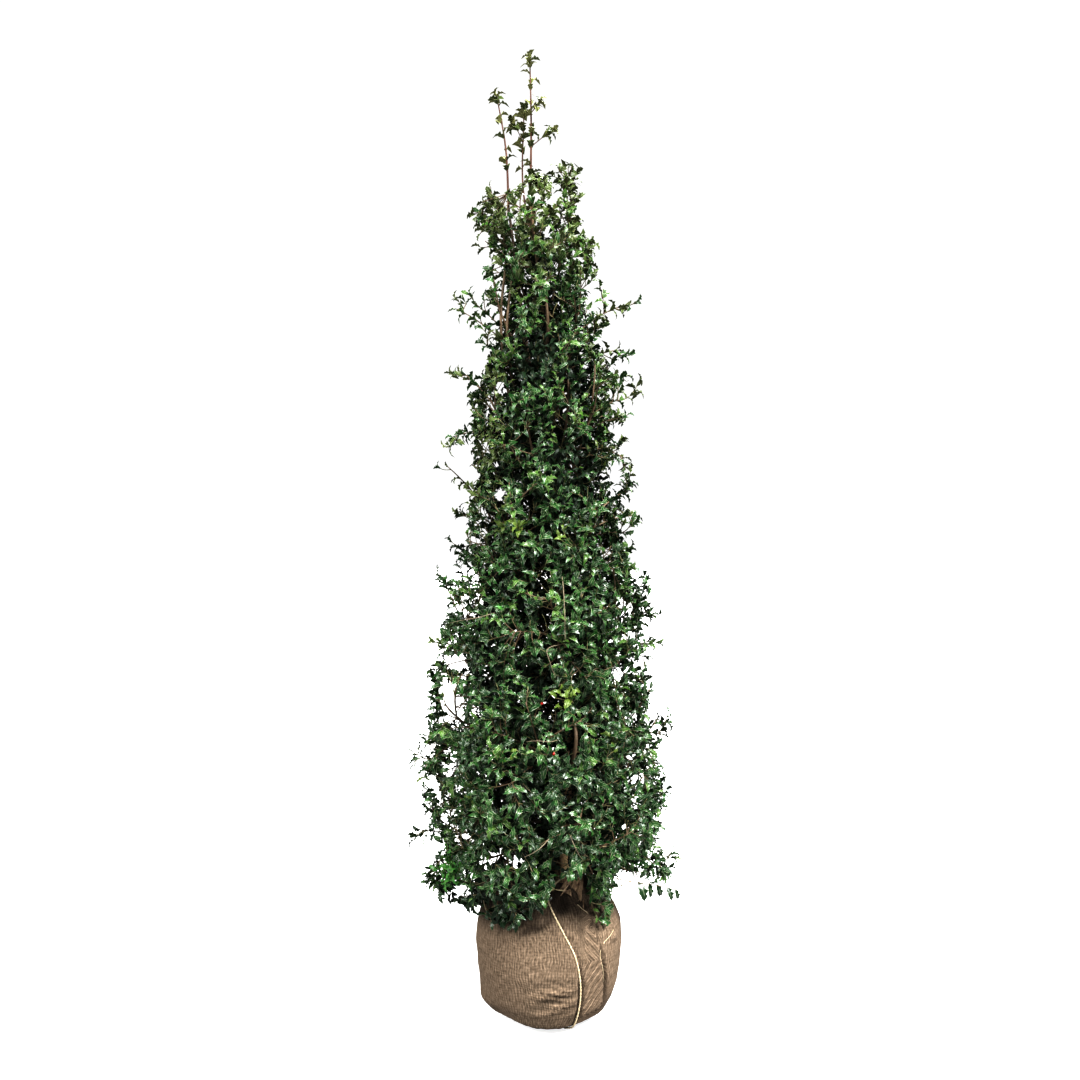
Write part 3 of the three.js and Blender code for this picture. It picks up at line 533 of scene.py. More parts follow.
trunkLine = throughStops(trunk["path"], 360)
trunkStops = np.array(trunk["path"], float).T
boughLines = []
stemLines = []
coarseStems = []
for level, (start, step, to, count, first, onTrunk) in enumerate(tiers):
    for i in range(count):
        index = level * 10 + i
        azimuth = np.radians(first + 360 / count * (i + boughs["turnSpread"] * (chance(index, 1) - 0.5)))
        low = start + step * ((2 * i) % count)
        foot = np.array([*[np.interp(low, trunkStops[2], trunkStops[axis]) for axis in (0, 1)], low])
        joint = crownPoint(azimuth, low + (to - low) * boughs["rise"], boughs["reach"])
        tip = crownPoint(azimuth, to + boughs["tipSpread"] * (chance(index, 2) - 0.5), boughs["stemReach"])
        whole = bowed(foot, joint, tip, boughs["steps"])
        split = 0 if onTrunk else boughs["steps"] // 2
        if split:
            boughLines.append(evenly(whole[:split + 1], boughs["boughSteps"]))
        stemLines.append(evenly(whole[split:], boughs["stemSteps"]))
        coarseStems.append(evenly(whole[split:], boughs["coarseSteps"]))
for path in leaders["paths"]:
    stemLines.append(throughStops(path, boughs["stemSteps"]))
    coarseStems.append(throughStops(path, boughs["coarseSteps"]))
boughLines = np.stack(boughLines)
stemLines = np.stack(stemLines)
coarseStems = np.stack(coarseStems)
leaderStart = len(stemLines) - len(leaders["paths"])
print("limbs", len(boughLines), "boughs", len(stemLines), "stems")


def stemDistances(points):
    # distance from each point to each mass's stem, over its straight stretches
    starts, ends = coarseStems[:, :-1], coarseStems[:, 1:]
    along = ends - starts
    off = points[:, None, None] - starts[None]
    share = np.clip(np.sum(off * along, -1) / np.sum(along * along, -1), 0, 1)
    return np.linalg.norm(off - share[..., None] * along, axis=-1).min(-1)


def owners(points):
    return stemDistances(points).argmin(1)


farTips = np.array([
    (352, -30, 436), (276, -60, 400), (354, 20, 822), (306, -40, 985), (312, 10, 1200), (292, -30, 1296),
    (274, 10, 1472), (240, -30, 1632), (258, 0, 1890), (222, -40, 1812), (242, 10, 2098), (112, -20, 2262),
    (340, -20, 640), (-402, 10, 545), (-388, -30, 716), (-366, 20, 1003), (-334, -20, 1082),
    (-284, 20, 1372), (-310, -10, 1626), (-304, -40, 1694), (-262, 10, 1900), (-286, -10, 2086),
    (-220, -10, 2330), (-178, -30, 2426), (-350, -20, 436), (-250, -90, 330),
    (-90, -232, 318), (-150, -205, 330), (165, -130, 340), (14, -6, 2598), (-18, -20, 2690),
    (90, 0, 2462), (-12, -10, 2440), (30, 250, 2080), (-60, 330, 700), (120, -290, 1000),
    (-100, -270, 1500), (60, 300, 1250), (172, -10, 2034), (222, -20, 1960),
    (-226, -30, 2096), (226, 0, 1760), (-330, 0, 900), (300, 20, 1092),
], float)


def sharedHeights(count, low, high, radiusAt):
    # heights that share a turned surface evenly between so many points
    rows = np.linspace(low, high, 401)
    areas = np.cumsum(radiusAt(rows))
    return np.interp((np.arange(count) + 0.5) / count * areas[-1], areas, rows)


def spiralTips(count, low, high, kind, shares):
    # a golden spiral on the crown's outline
    z = sharedHeights(count, low, high, lambda rows: np.interp(rows, crown["heights"], crown["radii"]))
    return crownPoint(np.arange(count) * goldenAngle + kind, z, shares(np.arange(count), kind))


foliage = {  # how far the leaves reach to the left and the right at each height
    "heights": [270, 323, 382, 441, 514, 632, 750, 867, 956, 1044, 1132, 1205, 1279, 1367, 1455,
                1558, 1626, 1720, 1808, 1896, 1985, 2073, 2146, 2249, 2290, 2335, 2367, 2425, 2480],
    "left": [160, 228, 312, 330, 334, 368, 376, 352, 350, 336, 310, 280, 270, 266, 238,
             229, 212, 232, 216, 200, 150, 124, 120, 156, 186, 208, 200, 166, 140],
    "right": [140, 150, 170, 300, 330, 348, 334, 318, 282, 246, 280, 300, 250, 232, 210,
              172, 190, 170, 178, 176, 128, 100, 110, 140, 116, 82, 88, 92, 72],
    "leafReach": 4, "lump": 42, "lumpDepth": 0.2, "mostDepth": 360,
}


def foliageRadius(azimuth, z):
    # from the crown's axis to its leaves: the mean of both sides, shifted to the wider one
    left = np.interp(z, foliage["heights"], foliage["left"]) + crownAxis(z)
    right = np.interp(z, foliage["heights"], foliage["right"]) - crownAxis(z)
    return (left + right) / 2 + (right - left) / 2 * np.cos(azimuth) - foliage["leafReach"]


def foliageTips(count, low, high, kind, shares, isLumpy=True):
    # a golden spiral on the leaves' outline, with hollows between lumps of foliage
    index = np.arange(count)
    z = sharedHeights(count, low, high, lambda rows: foliageRadius(np.pi / 2, rows))
    azimuth = index * goldenAngle + kind
    radius = foliageRadius(azimuth, z)
    share = shares(index, kind)
    if isLumpy:
        size = foliage["lump"]
        lump = ripple(260 * np.cos(azimuth) / size + 3, 260 * np.sin(azimuth) / size + z / size, 1.9)
        hollow = (0.3 + 0.7 * np.sin(azimuth) ** 2) * smoothStep(-lump, 0, 0.6)
        share = share * (1 - foliage["lumpDepth"] * hollow)
    return aroundAxis(azimuth, radius * share, z)


def outerShares(index, kind):
    return within((crown["tipReach"], 1), chance(index, kind))


ball = {
    "radii": [0, 118, 166, 187, 200, 209, 212, 208, 199, 181, 152, 112, 0],
    "heights": [0, 0, 26, 66, 115, 165, 225, 285, 328, 364, 390, 404, 404],
    "tipsClear": 10,
}
boxLow = np.array([-402.0, -345, 262])
boxHigh = np.array([370.0, 341, 2800])
frontEye = np.array([-26.0, -3800, 1397])  # the camera, from where the gaps are seen through
keySun = {"azimuth": 40, "elevation": 48}
skyGaps = [  # x, z, half width, half height: open right through
    (-276, 1043, 30, 22), (-292, 960, 27, 26), (-262, 925, 20, 16), (-278, 882, 30, 27),
    (-302, 1004, 9, 11), (-248, 990, 9, 9), (-312, 908, 9, 11), (-240, 852, 9, 8), (-322, 862, 9, 9),
    (-334, 800, 9, 10), (-300, 770, 9, 8), (-318, 620, 9, 10),
    (-144, 1535, 13, 20), (-96, 455, 22, 16), (-150, 470, 18, 14), (-215, 905, 12, 12),
    (-180, 1000, 10, 12), (205, 1010, 12, 14), (-258, 1210, 12, 14), (250, 700, 10, 12),
    (-262, 1602, 60, 20), (-268, 1422, 26, 28), (160, 2330, 34, 34), (18, 2410, 9, 24),
    (-136, 2414, 15, 26), (-66, 2404, 9, 18),
    (-320, 500, 24, 14), (-182, 452, 26, 15), (-265, 372, 26, 14), (-182, 322, 14, 12),
    (-238, 1020, 14, 12), (-245, 1380, 12, 16),
    (-104, 2286, 10, 14), (42, 2336, 11, 15), (74, 2236, 10, 13), (-152, 2196, 10, 13), (-60, 2176, 9, 11),
    (102, 2150, 10, 13), (22, 2206, 8, 11), (-6, 2306, 9, 13), (-190, 2290, 10, 12), (58, 2420, 8, 12),
]
# small gaps along both rims of the crown, where it is thin: three of four are on the left
rimGaps = {"count": 72, "heights": (480, 1860), "reach": (0.68, 0.9), "size": (8, 15)}
rims = np.arange(rimGaps["count"])
rimHeights = within(rimGaps["heights"], chance(rims, 201))
rimReach = [np.interp(rimHeights, foliage["heights"], foliage[side]) for side in ("left", "right")]
rimReach = np.where(rims % 4 < 3, -rimReach[0], rimReach[1]) * within(rimGaps["reach"], chance(rims, 202))
rimSizes = within(rimGaps["size"], np.stack([chance(rims, 203), chance(rims, 204)], 1))
skyGaps += np.column_stack([rimReach, rimHeights, rimSizes]).tolist()
hem = {  # the lowest that leaves hang, from left to right
    "x": [-402, -345, -330, -262, -248, -190, -172, -95, -78, -12, 12, 30, 112, 122, 186, 196, 262, 280, 402],
    "z": [385, 375, 345, 330, 300, 296, 258, 252, 288, 284, 380, 408, 408, 274, 274, 425, 425, 396, 396],
}


def isInBall(points, clear):
    radius = np.interp(points[..., 2], ball["heights"][1:-1], ball["radii"][1:-1])
    isWithin = np.hypot(points[..., 0], points[..., 1]) < radius + clear
    return isWithin & (points[..., 2] < ball["heights"][-1] + clear)


def asSeen(points):
    # where a line from the front eye through each point meets the trunk's plane
    fromEye = points - frontEye
    seen = frontEye - fromEye * (frontEye[1] / fromEye[..., 1:2])
    return seen[..., 0], seen[..., 2]


def isInOval(seenX, seenZ, oval):
    x, z, wide, high = oval[:4]
    return ((seenX - x) / wide) ** 2 + ((seenZ - z) / high) ** 2 < 1


def isSky(points):
    # open places: the gaps as the front eye sees them, and all that is under the hem
    seenX, seenZ = asSeen(points)
    isOpen = seenZ < np.interp(seenX, hem["x"], hem["z"])
    for gap in skyGaps:
        isOpen |= isInOval(seenX, seenZ, gap)
    return isOpen


frontLimbs = {  # slender upright limbs of the upper crown that show between the leaves
    "paths": [[(-96, -20, 1720), (-130, -52, 1900), (-139, -64, 2040), (-128, -40, 2180)],
              [(-84, -20, 1760), (-116, -50, 1920), (-120, -62, 2040), (-108, -40, 2150)],
              [(104, -40, 1690), (121, -84, 1780), (131, -92, 1880), (128, -56, 1940)],
              [(34, -70, 1640), (52, -98, 1760), (54, -98, 1880), (44, -60, 2000)],
              [(-16, -110, 1560), (-50, -134, 1660), (-62, -130, 1760), (-50, -90, 1860)],
              [(40, -110, 700), (64, -186, 776), (74, -204, 840), (66, -150, 940)],
              [(-14, -30, 1900), (-4, -62, 2000), (-7, -74, 2070), (-20, -30, 2200)]],
    "radii": [4.4, 4.4, 3.3, 3.6, 3.6, 7.0, 5.4], "taper": 0.8,
}
windows = [  # x, z, half width, half height, y: in front of y no leaf hides the trunk or the dark inside
    (-131, 2024, 12, 36, -50), (129, 1856, 9, 56, -80), (53, 1826, 8, 44, -86), (-52, 1690, 11, 30, -122),
    (71, 806, 10, 40, -190), (36, 448, 13, 34, -16), (-12, 1000, 9, 20, -150), (-22, 1290, 22, 62, -100),
    (-12, 1170, 22, 64, -110), (60, 653, 18, 16, -120), (-150, 620, 16, 15, -90), (-40, 576, 15, 14, -120),
    (-132, 690, 13, 13, -90), (0, 905, 18, 40, -110), (-8, 2040, 11, 40, -60), (30, 1740, 16, 44, -60),
    (-55, 1500, 16, 36, -80), (70, 1400, 13, 22, -80),
]
litPaths = {  # places where the wood shows, and how wide the key light's way to them is kept
    "places": [(44, -16, 448), (71, -200, 806), (72, -118, 404), (-6, -74, 2040)], "radius": 34,
}
pits = {"size": 22, "above": 0.62, "inner": 0.66}


def isWindow(points):
    seenX, seenZ = asSeen(points)
    isOpen = np.zeros(points.shape[:-1], bool)
    for window in windows:
        isOpen |= isInOval(seenX, seenZ, window) & (points[..., 1] < window[4])
    return isOpen


def isLitPath(points):
    turn, climb = np.radians(keySun["azimuth"]), np.radians(keySun["elevation"])
    aim = unit(np.array([np.sin(turn), -np.cos(turn), np.tan(climb)]))
    isOpen = np.zeros(points.shape[:-1], bool)
    for place in litPaths["places"]:
        off = points - np.array(place, float)
        along = np.maximum(dot(off, aim), 0)
        isOpen |= np.linalg.norm(off - along * aim, axis=-1) < litPaths["radius"]
    return isOpen


def isPit(points):
    # small dark hollows all round, where the outer leaves leave off
    azimuth = np.arctan2(points[..., 1], points[..., 0] - crownAxis(points[..., 2]))
    depth = ripple(250 * azimuth / pits["size"], points[..., 2] / pits["size"], 6.3)
    return (depth > pits["above"]) & (crownShare(points) > pits["inner"])


def keptTips(tips):
    tips = np.clip(tips, boxLow, boxHigh)
    return tips[~isInBall(tips, ball["tipsClear"]) & ~isSky(tips)]


class Growth:
    # curves of one order with the mass that each belongs to
    def __init__(self, lines, owner, footRadius, tipRadius):
        self.lines, self.owner = lines, owner
        self.radii = footRadius + (tipRadius - footRadius) * np.linspace(0, 1, lines.shape[1])
        self.radii = np.broadcast_to(self.radii, lines.shape[:2])
        self.lengths = np.linalg.norm(np.diff(lines, axis=1), axis=2).sum(1)


joining = {  # what a twig's way costs: a turn, and a level way high up, as shares of its length
    "turn": 0.5, "level": 1.2, "highFrom": 700, "highTo": 1700, "shortest": 18, "shortCost": 60,
    "highSag": 0.16,
}


def grow(tips, hosts, bend, sag, steps, radii, longest, farther=0.12):
    # each tip joins the place on its own mass's limbs that it reaches with the least
    # length and turn, from below near the top; the twig leaves along its host and turns
    # up at its end
    tipOwner = owners(tips)
    feet = np.zeros_like(tips)
    headings = np.zeros_like(tips)
    for which in np.unique(tipOwner):
        mine = np.where(tipOwner == which)[0]
        points, directions = [], []
        for host in hosts:
            lines = host.lines[host.owner == which]
            if len(lines):
                first = int(lines.shape[1] * farther)
                points.append(lines[:, first:-1].reshape(-1, 3))
                directions.append(unit(np.diff(lines, axis=1))[:, first:].reshape(-1, 3))
        points, directions = np.vstack(points), np.vstack(directions)
        reach = tips[mine][:, None] - points[None]
        distance = np.linalg.norm(reach, axis=-1)
        turn = 1 - np.sum(reach * directions[None], -1) / np.maximum(distance, 1e-6)
        climb = smoothStep(tips[mine][:, None, 2], joining["highFrom"], joining["highTo"])
        level = 1 - reach[..., 2] / np.maximum(distance, 1e-6)
        cost = distance * (1 + joining["turn"] * turn + joining["level"] * climb * level)
        cost = cost + np.where(distance < joining["shortest"], joining["shortCost"], 0)
        best = cost.argmin(1)
        feet[mine], headings[mine] = points[best], directions[best]
    reach = tips - feet
    distance = np.linalg.norm(reach, axis=1, keepdims=True)
    tips = feet + reach * np.minimum(1, longest / np.maximum(distance, 1e-6))
    distance = np.minimum(distance, longest)
    sag = sag + joining["highSag"] * smoothStep(tips[:, 2:], joining["highFrom"], joining["highTo"])
    middles = (feet + tips) / 2 + headings * distance * bend - upwards * distance * sag
    return Growth(bowed(feet, middles, tips, steps), tipOwner, *radii)


twigs = {
    "bend": 0.14, "first": 0.12, "leafRoom": 22, "mainRadii": (2.4, 1.2), "sideRadii": (1.5, 1.0),
    "topRadii": (1.4, 0.8), "shootRadii": (1.25, 0.75), "sideTwigs": 900, "shoots": 5500,
    "innerShoots": 1500, "longestSide": 210, "longestTop": 330, "longestShoot": 115,
    "longestInner": 140,
}

stems = Growth(stemLines, np.arange(len(stemLines)), boughs["stemFoot"], boughs["stemTip"])
stems.radii = stems.radii.copy()
stems.radii[leaderStart:] = np.linspace(leaders["foot"], leaders["tip"], stemLines.shape[1])

# the main twigs go to the tips that make the outline, evenly spaced along each stem
top = crown["heights"][-1]
mainTips = np.vstack([
    farTips, spiralTips(crown["tips"], crown["heights"][0], top, 3, outerShares),
    spiralTips(crown["topTips"], crown["topFrom"], top, 11, outerShares),
])
tipOwner = owners(mainTips)
marks = np.linspace(0, 1, 25)
mainLines = []
mainOwners = []
for which in range(leaderStart):
    mine = mainTips[tipOwner == which]
    onStem, heading = placesOn(coarseStems, np.full(25, which), marks)
    nearest = marks[np.linalg.norm(mine[:, None] - onStem[None], axis=-1).argmin(1)]
    mine = mine[np.lexsort((mine[:, 2], nearest))]
    shares = twigs["first"] + (1 - twigs["first"]) * (np.arange(len(mine)) + 0.7) / max(1, len(mine))
    feet, heading = placesOn(stemLines, np.full(len(mine), which), shares)
    distance = np.linalg.norm(mine - feet, axis=1, keepdims=True)
    ends = feet + (mine - feet) * np.maximum(0.3, 1 - twigs["leafRoom"] / distance)
    middles = (feet + ends) / 2 + heading * distance * twigs["bend"]
    mainLines.append(bowed(feet, middles, ends, 9))
    mainOwners += [which] * len(mine)
mainTwigs = Growth(np.concatenate(mainLines), np.array(mainOwners), *twigs["mainRadii"])


def sideTips(growth, shares, spread, kind):
    # tips of side twigs: out from the host by a share of what is left of it, turned by
    # the golden angle from one to the next
    count = len(growth.lines)
    made = []
    for i, share in enumerate(shares):
        index = np.arange(count) + 7 * i
        places = np.full(count, share) + 0.08 * (chance(index, kind) - 0.5)
        foot, heading = placesOn(growth.lines, np.arange(count), places)
        out = turnedAround(heading, index * goldenAngle + i * 2.4)
        length = within(spread, chance(index, kind + 1))[:, None]
        made.append(foot + length * (0.72 * heading + 0.62 * out + 0.22 * upwards))
    return np.vstack(made)


def depthShares(index, kind):
    # most lie near the outline, a few deep inside
    value = chance(index, kind)
    near, deeper = 0.86 + 0.14 * chance(index, kind + 1), 0.62 + 0.22 * chance(index, kind + 2)
    deep = 0.4 + 0.22 * chance(index, kind + 3)
    return np.where(value < 0.62, near, np.where(value < 0.88, deeper, deep))


skirts = {  # hanging tips close over the ball's shoulder
    "heights": (268, 352), "clear": 14,
    "parts": [(44, 212, 262, 26, 41), (18, 306, 333, 14, 47), (26, 60, 150, 22, 53)],
}
frontSprays = {"count": 34, "x": (-110, 110), "y": (-98, -132), "lowest": 1740, "step": 8}
goldenShare = 0.618034


def skirtTips(count, low, high, reach, kind):
    # how many, between which bearings, how far out at most
    index = np.arange(count)
    azimuth = np.radians(within((low, high), index * goldenShare % 1))
    z = within(skirts["heights"], chance(index, kind))
    onBall = np.interp(z, ball["heights"][1:-1], ball["radii"][1:-1])
    radius = onBall + skirts["clear"] + reach * chance(index, kind + 1)
    return np.stack([radius * np.cos(azimuth), radius * np.sin(azimuth), z], 1)


def frontTips():
    index = np.arange(frontSprays["count"])
    x = within(frontSprays["x"], index * goldenShare % 1)
    y = within(frontSprays["y"], chance(index, 95))
    return np.stack([x, y, frontSprays["lowest"] + frontSprays["step"] * index], 1)


topTips = np.array([  # upright sprays that end the crown
    (56, -20, 2484), (76, 10, 2470), (16, 20, 2472), (-10, -30, 2450), (88, -10, 2400), (84, 20, 2340),
    (126, -30, 2262), (40, -60, 2420), (-171, 0, 2434), (-222, -10, 2352), (-180, -30, 2370),
    (-140, 30, 2372), (-84, -50, 2380), (-30, 60, 2400), (60, 70, 2360), (-110, 70, 2330),
    (-204, 20, 2262), (10, -90, 2330), (-60, -100, 2280), (132, 30, 2200), (-150, -60, 2250),
    (-36, -60, 2440), (60, -80, 2300), (-112, -90, 2290), (148, -20, 2140), (-8, -110, 2240),
    (60, 20, 2440), (100, -50, 2220), (-20, -40, 2438), (-34, 20, 2444), (66, -50, 2480),
    (-176, -40, 2180), (30, 110, 2250), (-40, 120, 2300), (2, -14, 2456), (26, -34, 2480),
    (42, 10, 2486), (66, 24, 2488), (84, -24, 2474), (48, -56, 2446), (28, -20, 2440),
    (-176, 20, 2418), (-212, 12, 2338), (-194, -12, 2322), (6, -60, 2400), (24, -90, 2360),
    (-16, -70, 2390), (44, -90, 2380), (-60, -40, 2380),
], float)
# on the left most of them branch from the others
isFirst = (topTips[:, 0] > -100) | (np.arange(len(topTips)) % 3 == 0)
howTop = (0.16, 0.06, 9, twigs["topRadii"], twigs["longestTop"])
firstTop = grow(topTips[isFirst], [stems, mainTwigs], *howTop)
nextTop = grow(topTips[~isFirst], [firstTop, mainTwigs, stems], *howTop)
topLines = np.concatenate([firstTop.lines, nextTop.lines])
topTwigs = Growth(topLines, np.concatenate([firstTop.owner, nextTop.owner]), *twigs["topRadii"])
lowTips = np.array([  # low sprays on the left, and the sprig that hangs on the right
    (-305, 10, 388), (-275, -30, 372), (-330, -10, 402), (-250, 20, 360), (-290, -50, 350),
    (296, -60, 462), (322, -50, 454),
], float)
sprigPath = [(150, -70, 432), (240, -80, 414), (300, -76, 405), (368, -70, 388)]
lowSprays = {"shoots": 9, "size": 76, "middle": (0.5, 0.5, 0.6)}
thinTop = {"heights": [2020, 2140, 2240, 2330, 2400], "shares": [0, 0.36, 0.55, 0.8, 0.95]}


def randomShares(index, kinds):
    return np.stack([chance(index, kind) for kind in kinds], 1)


def middleShares(index, kind):
    return 0.62 + 0.32 * chance(index, kind)


def innerShares(index, kind):
    return 0.12 + 0.5 * chance(index, kind)


sideTwigTips = keptTips(np.vstack([
    lowTips,
    foliageTips(twigs["sideTwigs"], 330, 2400, 17, middleShares, False),
    sideTips(mainTwigs, [0.5, 0.72], (45, 85), 5),
]))
sideTwigs = grow(sideTwigTips, [mainTwigs, stems], 0.18, 0.02, 6, twigs["sideRadii"], twigs["longestSide"])
lowShares = randomShares(np.arange(lowSprays["shoots"] * len(lowTips)), (91, 92, 93)) - lowSprays["middle"]
shootTips = keptTips(np.vstack([
    frontTips(),
    foliageTips(twigs["shoots"], 300, 2430, 23, depthShares),
    sideTips(mainTwigs, [0.6, 0.8, 0.93], (32, 62), 9),
    *[skirtTips(*part) for part in skirts["parts"]],
    np.repeat(lowTips, lowSprays["shoots"], axis=0) + lowSprays["size"] * lowShares,
]))
thinShares = np.interp(shootTips[:, 2], thinTop["heights"], thinTop["shares"])
shootTips = shootTips[chance(np.arange(len(shootTips)), 71) >= thinShares]
shootHosts = [sideTwigs, mainTwigs, topTwigs, stems]
shoots = grow(shootTips, shootHosts, 0.24, 0.07, 4, twigs["shootRadii"], twigs["longestShoot"], 0.3)
innerTips = keptTips(foliageTips(twigs["innerShoots"], 440, 2300, 31, innerShares, False))
innerHosts = [mainTwigs, stems, sideTwigs]
innerShoots = grow(innerTips, innerHosts, 0.2, 0.0, 3, twigs["shootRadii"], twigs["longestInner"], 0.05)
print("twigs", len(mainTwigs.lines), len(sideTwigs.lines), len(shoots.lines))


leaf = {
    "length": (26, 38), "width": 0.82, "widths": (0.9, 1.14), "angles": (24, 70), "angleSpread": 16,
    "droop": 0.22, "arch": (0.05, 0.18), "hook": (0.4, 1.4), "fold": 0.9, "twist": 0.9,
    "thickness": 0.012, "simpleBelow": 0.68,
}
# half outline of a spiny blade, as shares of its length: across, along, and how far it
# stands up; points stand up and the bays between them hang
spinyHalf = np.array([
    (0.24, 0.20, 0.08), (0.175, 0.36, -0.05), (0.30, 0.52, 0.10),
    (0.17, 0.66, -0.06), (0.19, 0.80, 0.07),
])
spinyRib = np.array([(0, 0.33, 0.0), (0, 0.69, 0.0)])
plainHalf = np.array([(0.23, 0.24, 0.03), (0.19, 0.45, -0.03), (0.235, 0.62, 0.03)])
plainRib = np.array([(0, 0.45, 0.02)])


def leafTemplate(half, rib):
    # order of points: base, tip, right side, left side, rib above, rib below
    sides, ribs = len(half), len(rib)
    left = half * [-1, 1, 1]
    under = rib - [0, 0, leaf["thickness"]]
    points = np.vstack([[(0, -0.1, -0.03)], [(0, 1, -0.02)], half, left, rib, under])
    lay = np.stack([np.r_[0.5, 0.5, np.ones(2 * sides), np.zeros(2 * ribs)], points[:, 1]], 1)
    right = np.arange(sides) + 2
    above = np.arange(ribs) + 2 + 2 * sides
    # walk up the side and the rib together, and take the shorter way across each time
    faces = [(0, right[0], above[0])]
    i = j = 0
    while i < sides - 1 or j < ribs - 1:
        ribMiddle = (rib[j][1] + rib[min(j + 1, ribs - 1)][1]) / 2
        if j == ribs - 1 or (i < sides - 1 and half[i + 1][1] < ribMiddle + 0.07):
            faces.append((right[i], right[i + 1], above[j]))
            i += 1
        else:
            faces.append((above[j], right[i], above[j + 1]))
            j += 1
    faces.append((right[-1], 1, above[-1]))
    faces = np.array(faces)
    toLeft = np.arange(len(points))
    toLeft[2:2 + sides] += sides
    upper = np.vstack([faces, toLeft[faces][:, ::-1]])
    toUnder = np.arange(len(points))
    toUnder[above] += ribs
    lower = toUnder[upper][:, ::-1]
    edge = np.r_[0, right, 1, (right + sides)[::-1]]
    return points, upper, lower, edge, lay


spinyLeaf = leafTemplate(spinyHalf, spinyRib)
plainLeaf = leafTemplate(plainHalf, plainRib)


def leafMesh(template, leaves):
    # a blade is base + length * (across * side + along * heading + height * face), where
    # the height also has an arch, a hanging tip, and a fold along the rib
    points, upper, lower, edge, lay = template
    across, along, rise = points.T
    arch = leaves["arch"][:, None] * 4 * along * (1 - along)
    hook = leaves["hook"][:, None] * np.maximum(0, along - 0.45) ** 2
    fold = leaves["fold"][:, None] * np.abs(across)
    twist = leaves["twist"][:, None] * across * along
    height = rise + arch - hook + fold + twist
    side = np.cross(leaves["heading"], leaves["face"])
    length = leaves["length"][:, None, None]
    made = leaves["base"][:, None] + length * (
        (across * leaf["width"] * leaves["width"][:, None])[..., None] * side[:, None]
        + along[:, None] * leaves["heading"][:, None] + height[..., None] * leaves["face"][:, None]
    )
    count, size = len(made), len(points)
    offsets = (np.arange(count) * size)[:, None, None]
    faces = np.concatenate([(upper + offsets).reshape(-1, 3), (lower + offsets).reshape(-1, 3)])
    isLower = np.repeat([0, 1], count * len(upper))
    isEdge = np.zeros((size, size), bool)
    isEdge[edge, np.roll(edge, -1)] = isEdge[np.roll(edge, -1), edge] = True

    def isSharp(ends):
        return isEdge[ends[:, 0] % size, ends[:, 1] % size]

    return (made.reshape(-1, 3), [faces]), isLower, isSharp, np.tile(lay, (count, 1))


def leavesAlong(growth, spacing, most, kind, bareFoot, angles=leaf["angles"], droop=leaf["droop"],
                length=1, width=1, hook=0, arch=0):
    # leaves go back from the tip at even steps, each turned by the golden angle
    count = len(growth.lines)
    which = np.repeat(np.arange(count), most)
    order = np.tile(np.arange(most), count)
    index = which * 11 + order * 3
    back = (order * (0.75 + 0.5 * chance(index, kind)) + 0.12 + 0.3 * (order > 1)) * spacing
    shares = 1 - back / growth.lengths[which]
    isRoom = shares > bareFoot
    which, order, index, shares = which[isRoom], order[isRoom], index[isRoom], shares[isRoom]
    base, tangent = placesOn(growth.lines, which, shares)
    turn = order * goldenAngle + 6.283 * chance(which, kind + 1) + 0.5 * (chance(index, kind + 2) - 0.5)
    out = turnedAround(tangent, turn)
    stray = leaf["angleSpread"] * (chance(index, kind + 3) - 0.5)
    angle = np.radians(within(angles, np.minimum(1, order / 2.5)) + stray)
    heading = np.cos(angle)[:, None] * tangent + np.sin(angle)[:, None] * out
    outwards = unit(base - np.stack([crownAxis(base[:, 2]), 0 * base[:, 0], base[:, 2] - 30], 1))
    hang = droop * (1 - 0.8 * smoothStep(base[:, 2:], 900, 1900))
    heading = unit(heading + 0.1 * outwards - hang * upwards)
    adaxial = tangent - heading * dot(tangent, heading)
    wanted = 0.4 * unit(adaxial) + 0.5 * upwards + 0.95 * outwards
    wanted = wanted + 0.9 * (randomShares(index, (kind + 4, kind + 5, kind + 6)) - 0.5)
    small = np.where(order == 0, 0.78, np.where(order == 1, 0.9, 1))  # the youngest two
    return {
        "base": base, "heading": heading, "face": unit(wanted - heading * dot(wanted, heading)),
        "length": within(leaf["length"], chance(index, kind + 7)) * small * length,
        "width": within(leaf["widths"], chance(index, kind + 8)) * width,
        "arch": within(leaf["arch"], chance(index, kind + 9)) + arch,
        "hook": within(leaf["hook"], chance(index, kind + 10)) + hook,
        "fold": leaf["fold"] * (chance(index, kind + 11) - 0.5),
        "twist": leaf["twist"] * (chance(index, kind + 12) - 0.5),
        "growth": which, "shade": chance(which, kind + 13), "own": chance(index, kind + 14),
    }


def chosen(leaves, keep):
    return {key: value[keep] for key, value in leaves.items()}


def together(sets):
    return {key: np.concatenate([one[key] for one in sets]) for key in sets[0]}


leafSets = [  # growth, spacing, most on one, seed, bare share at the foot, what is unusual
    (shoots, 8.4, 11, 60, 0.16, {}), (sideTwigs, 17, 5, 80, 0.3, {}),
    (mainTwigs, 13, 12, 100, 0.22, {"width": 1.2}), (innerShoots, 12, 8, 160, 0.1, {}),
    (topTwigs, 14, 14, 180, 0.05,
     {"angles": (16, 70), "droop": 0.0, "hook": 0.3, "width": 1.3, "length": 1.06}),
]
crownLeaves = together([leavesAlong(*known, **unusual) for *known, unusual in leafSets])
crownLeaves["width"] *= 1 + 0.2 * smoothStep(crownLeaves["base"][:, 2], 2050, 2250)
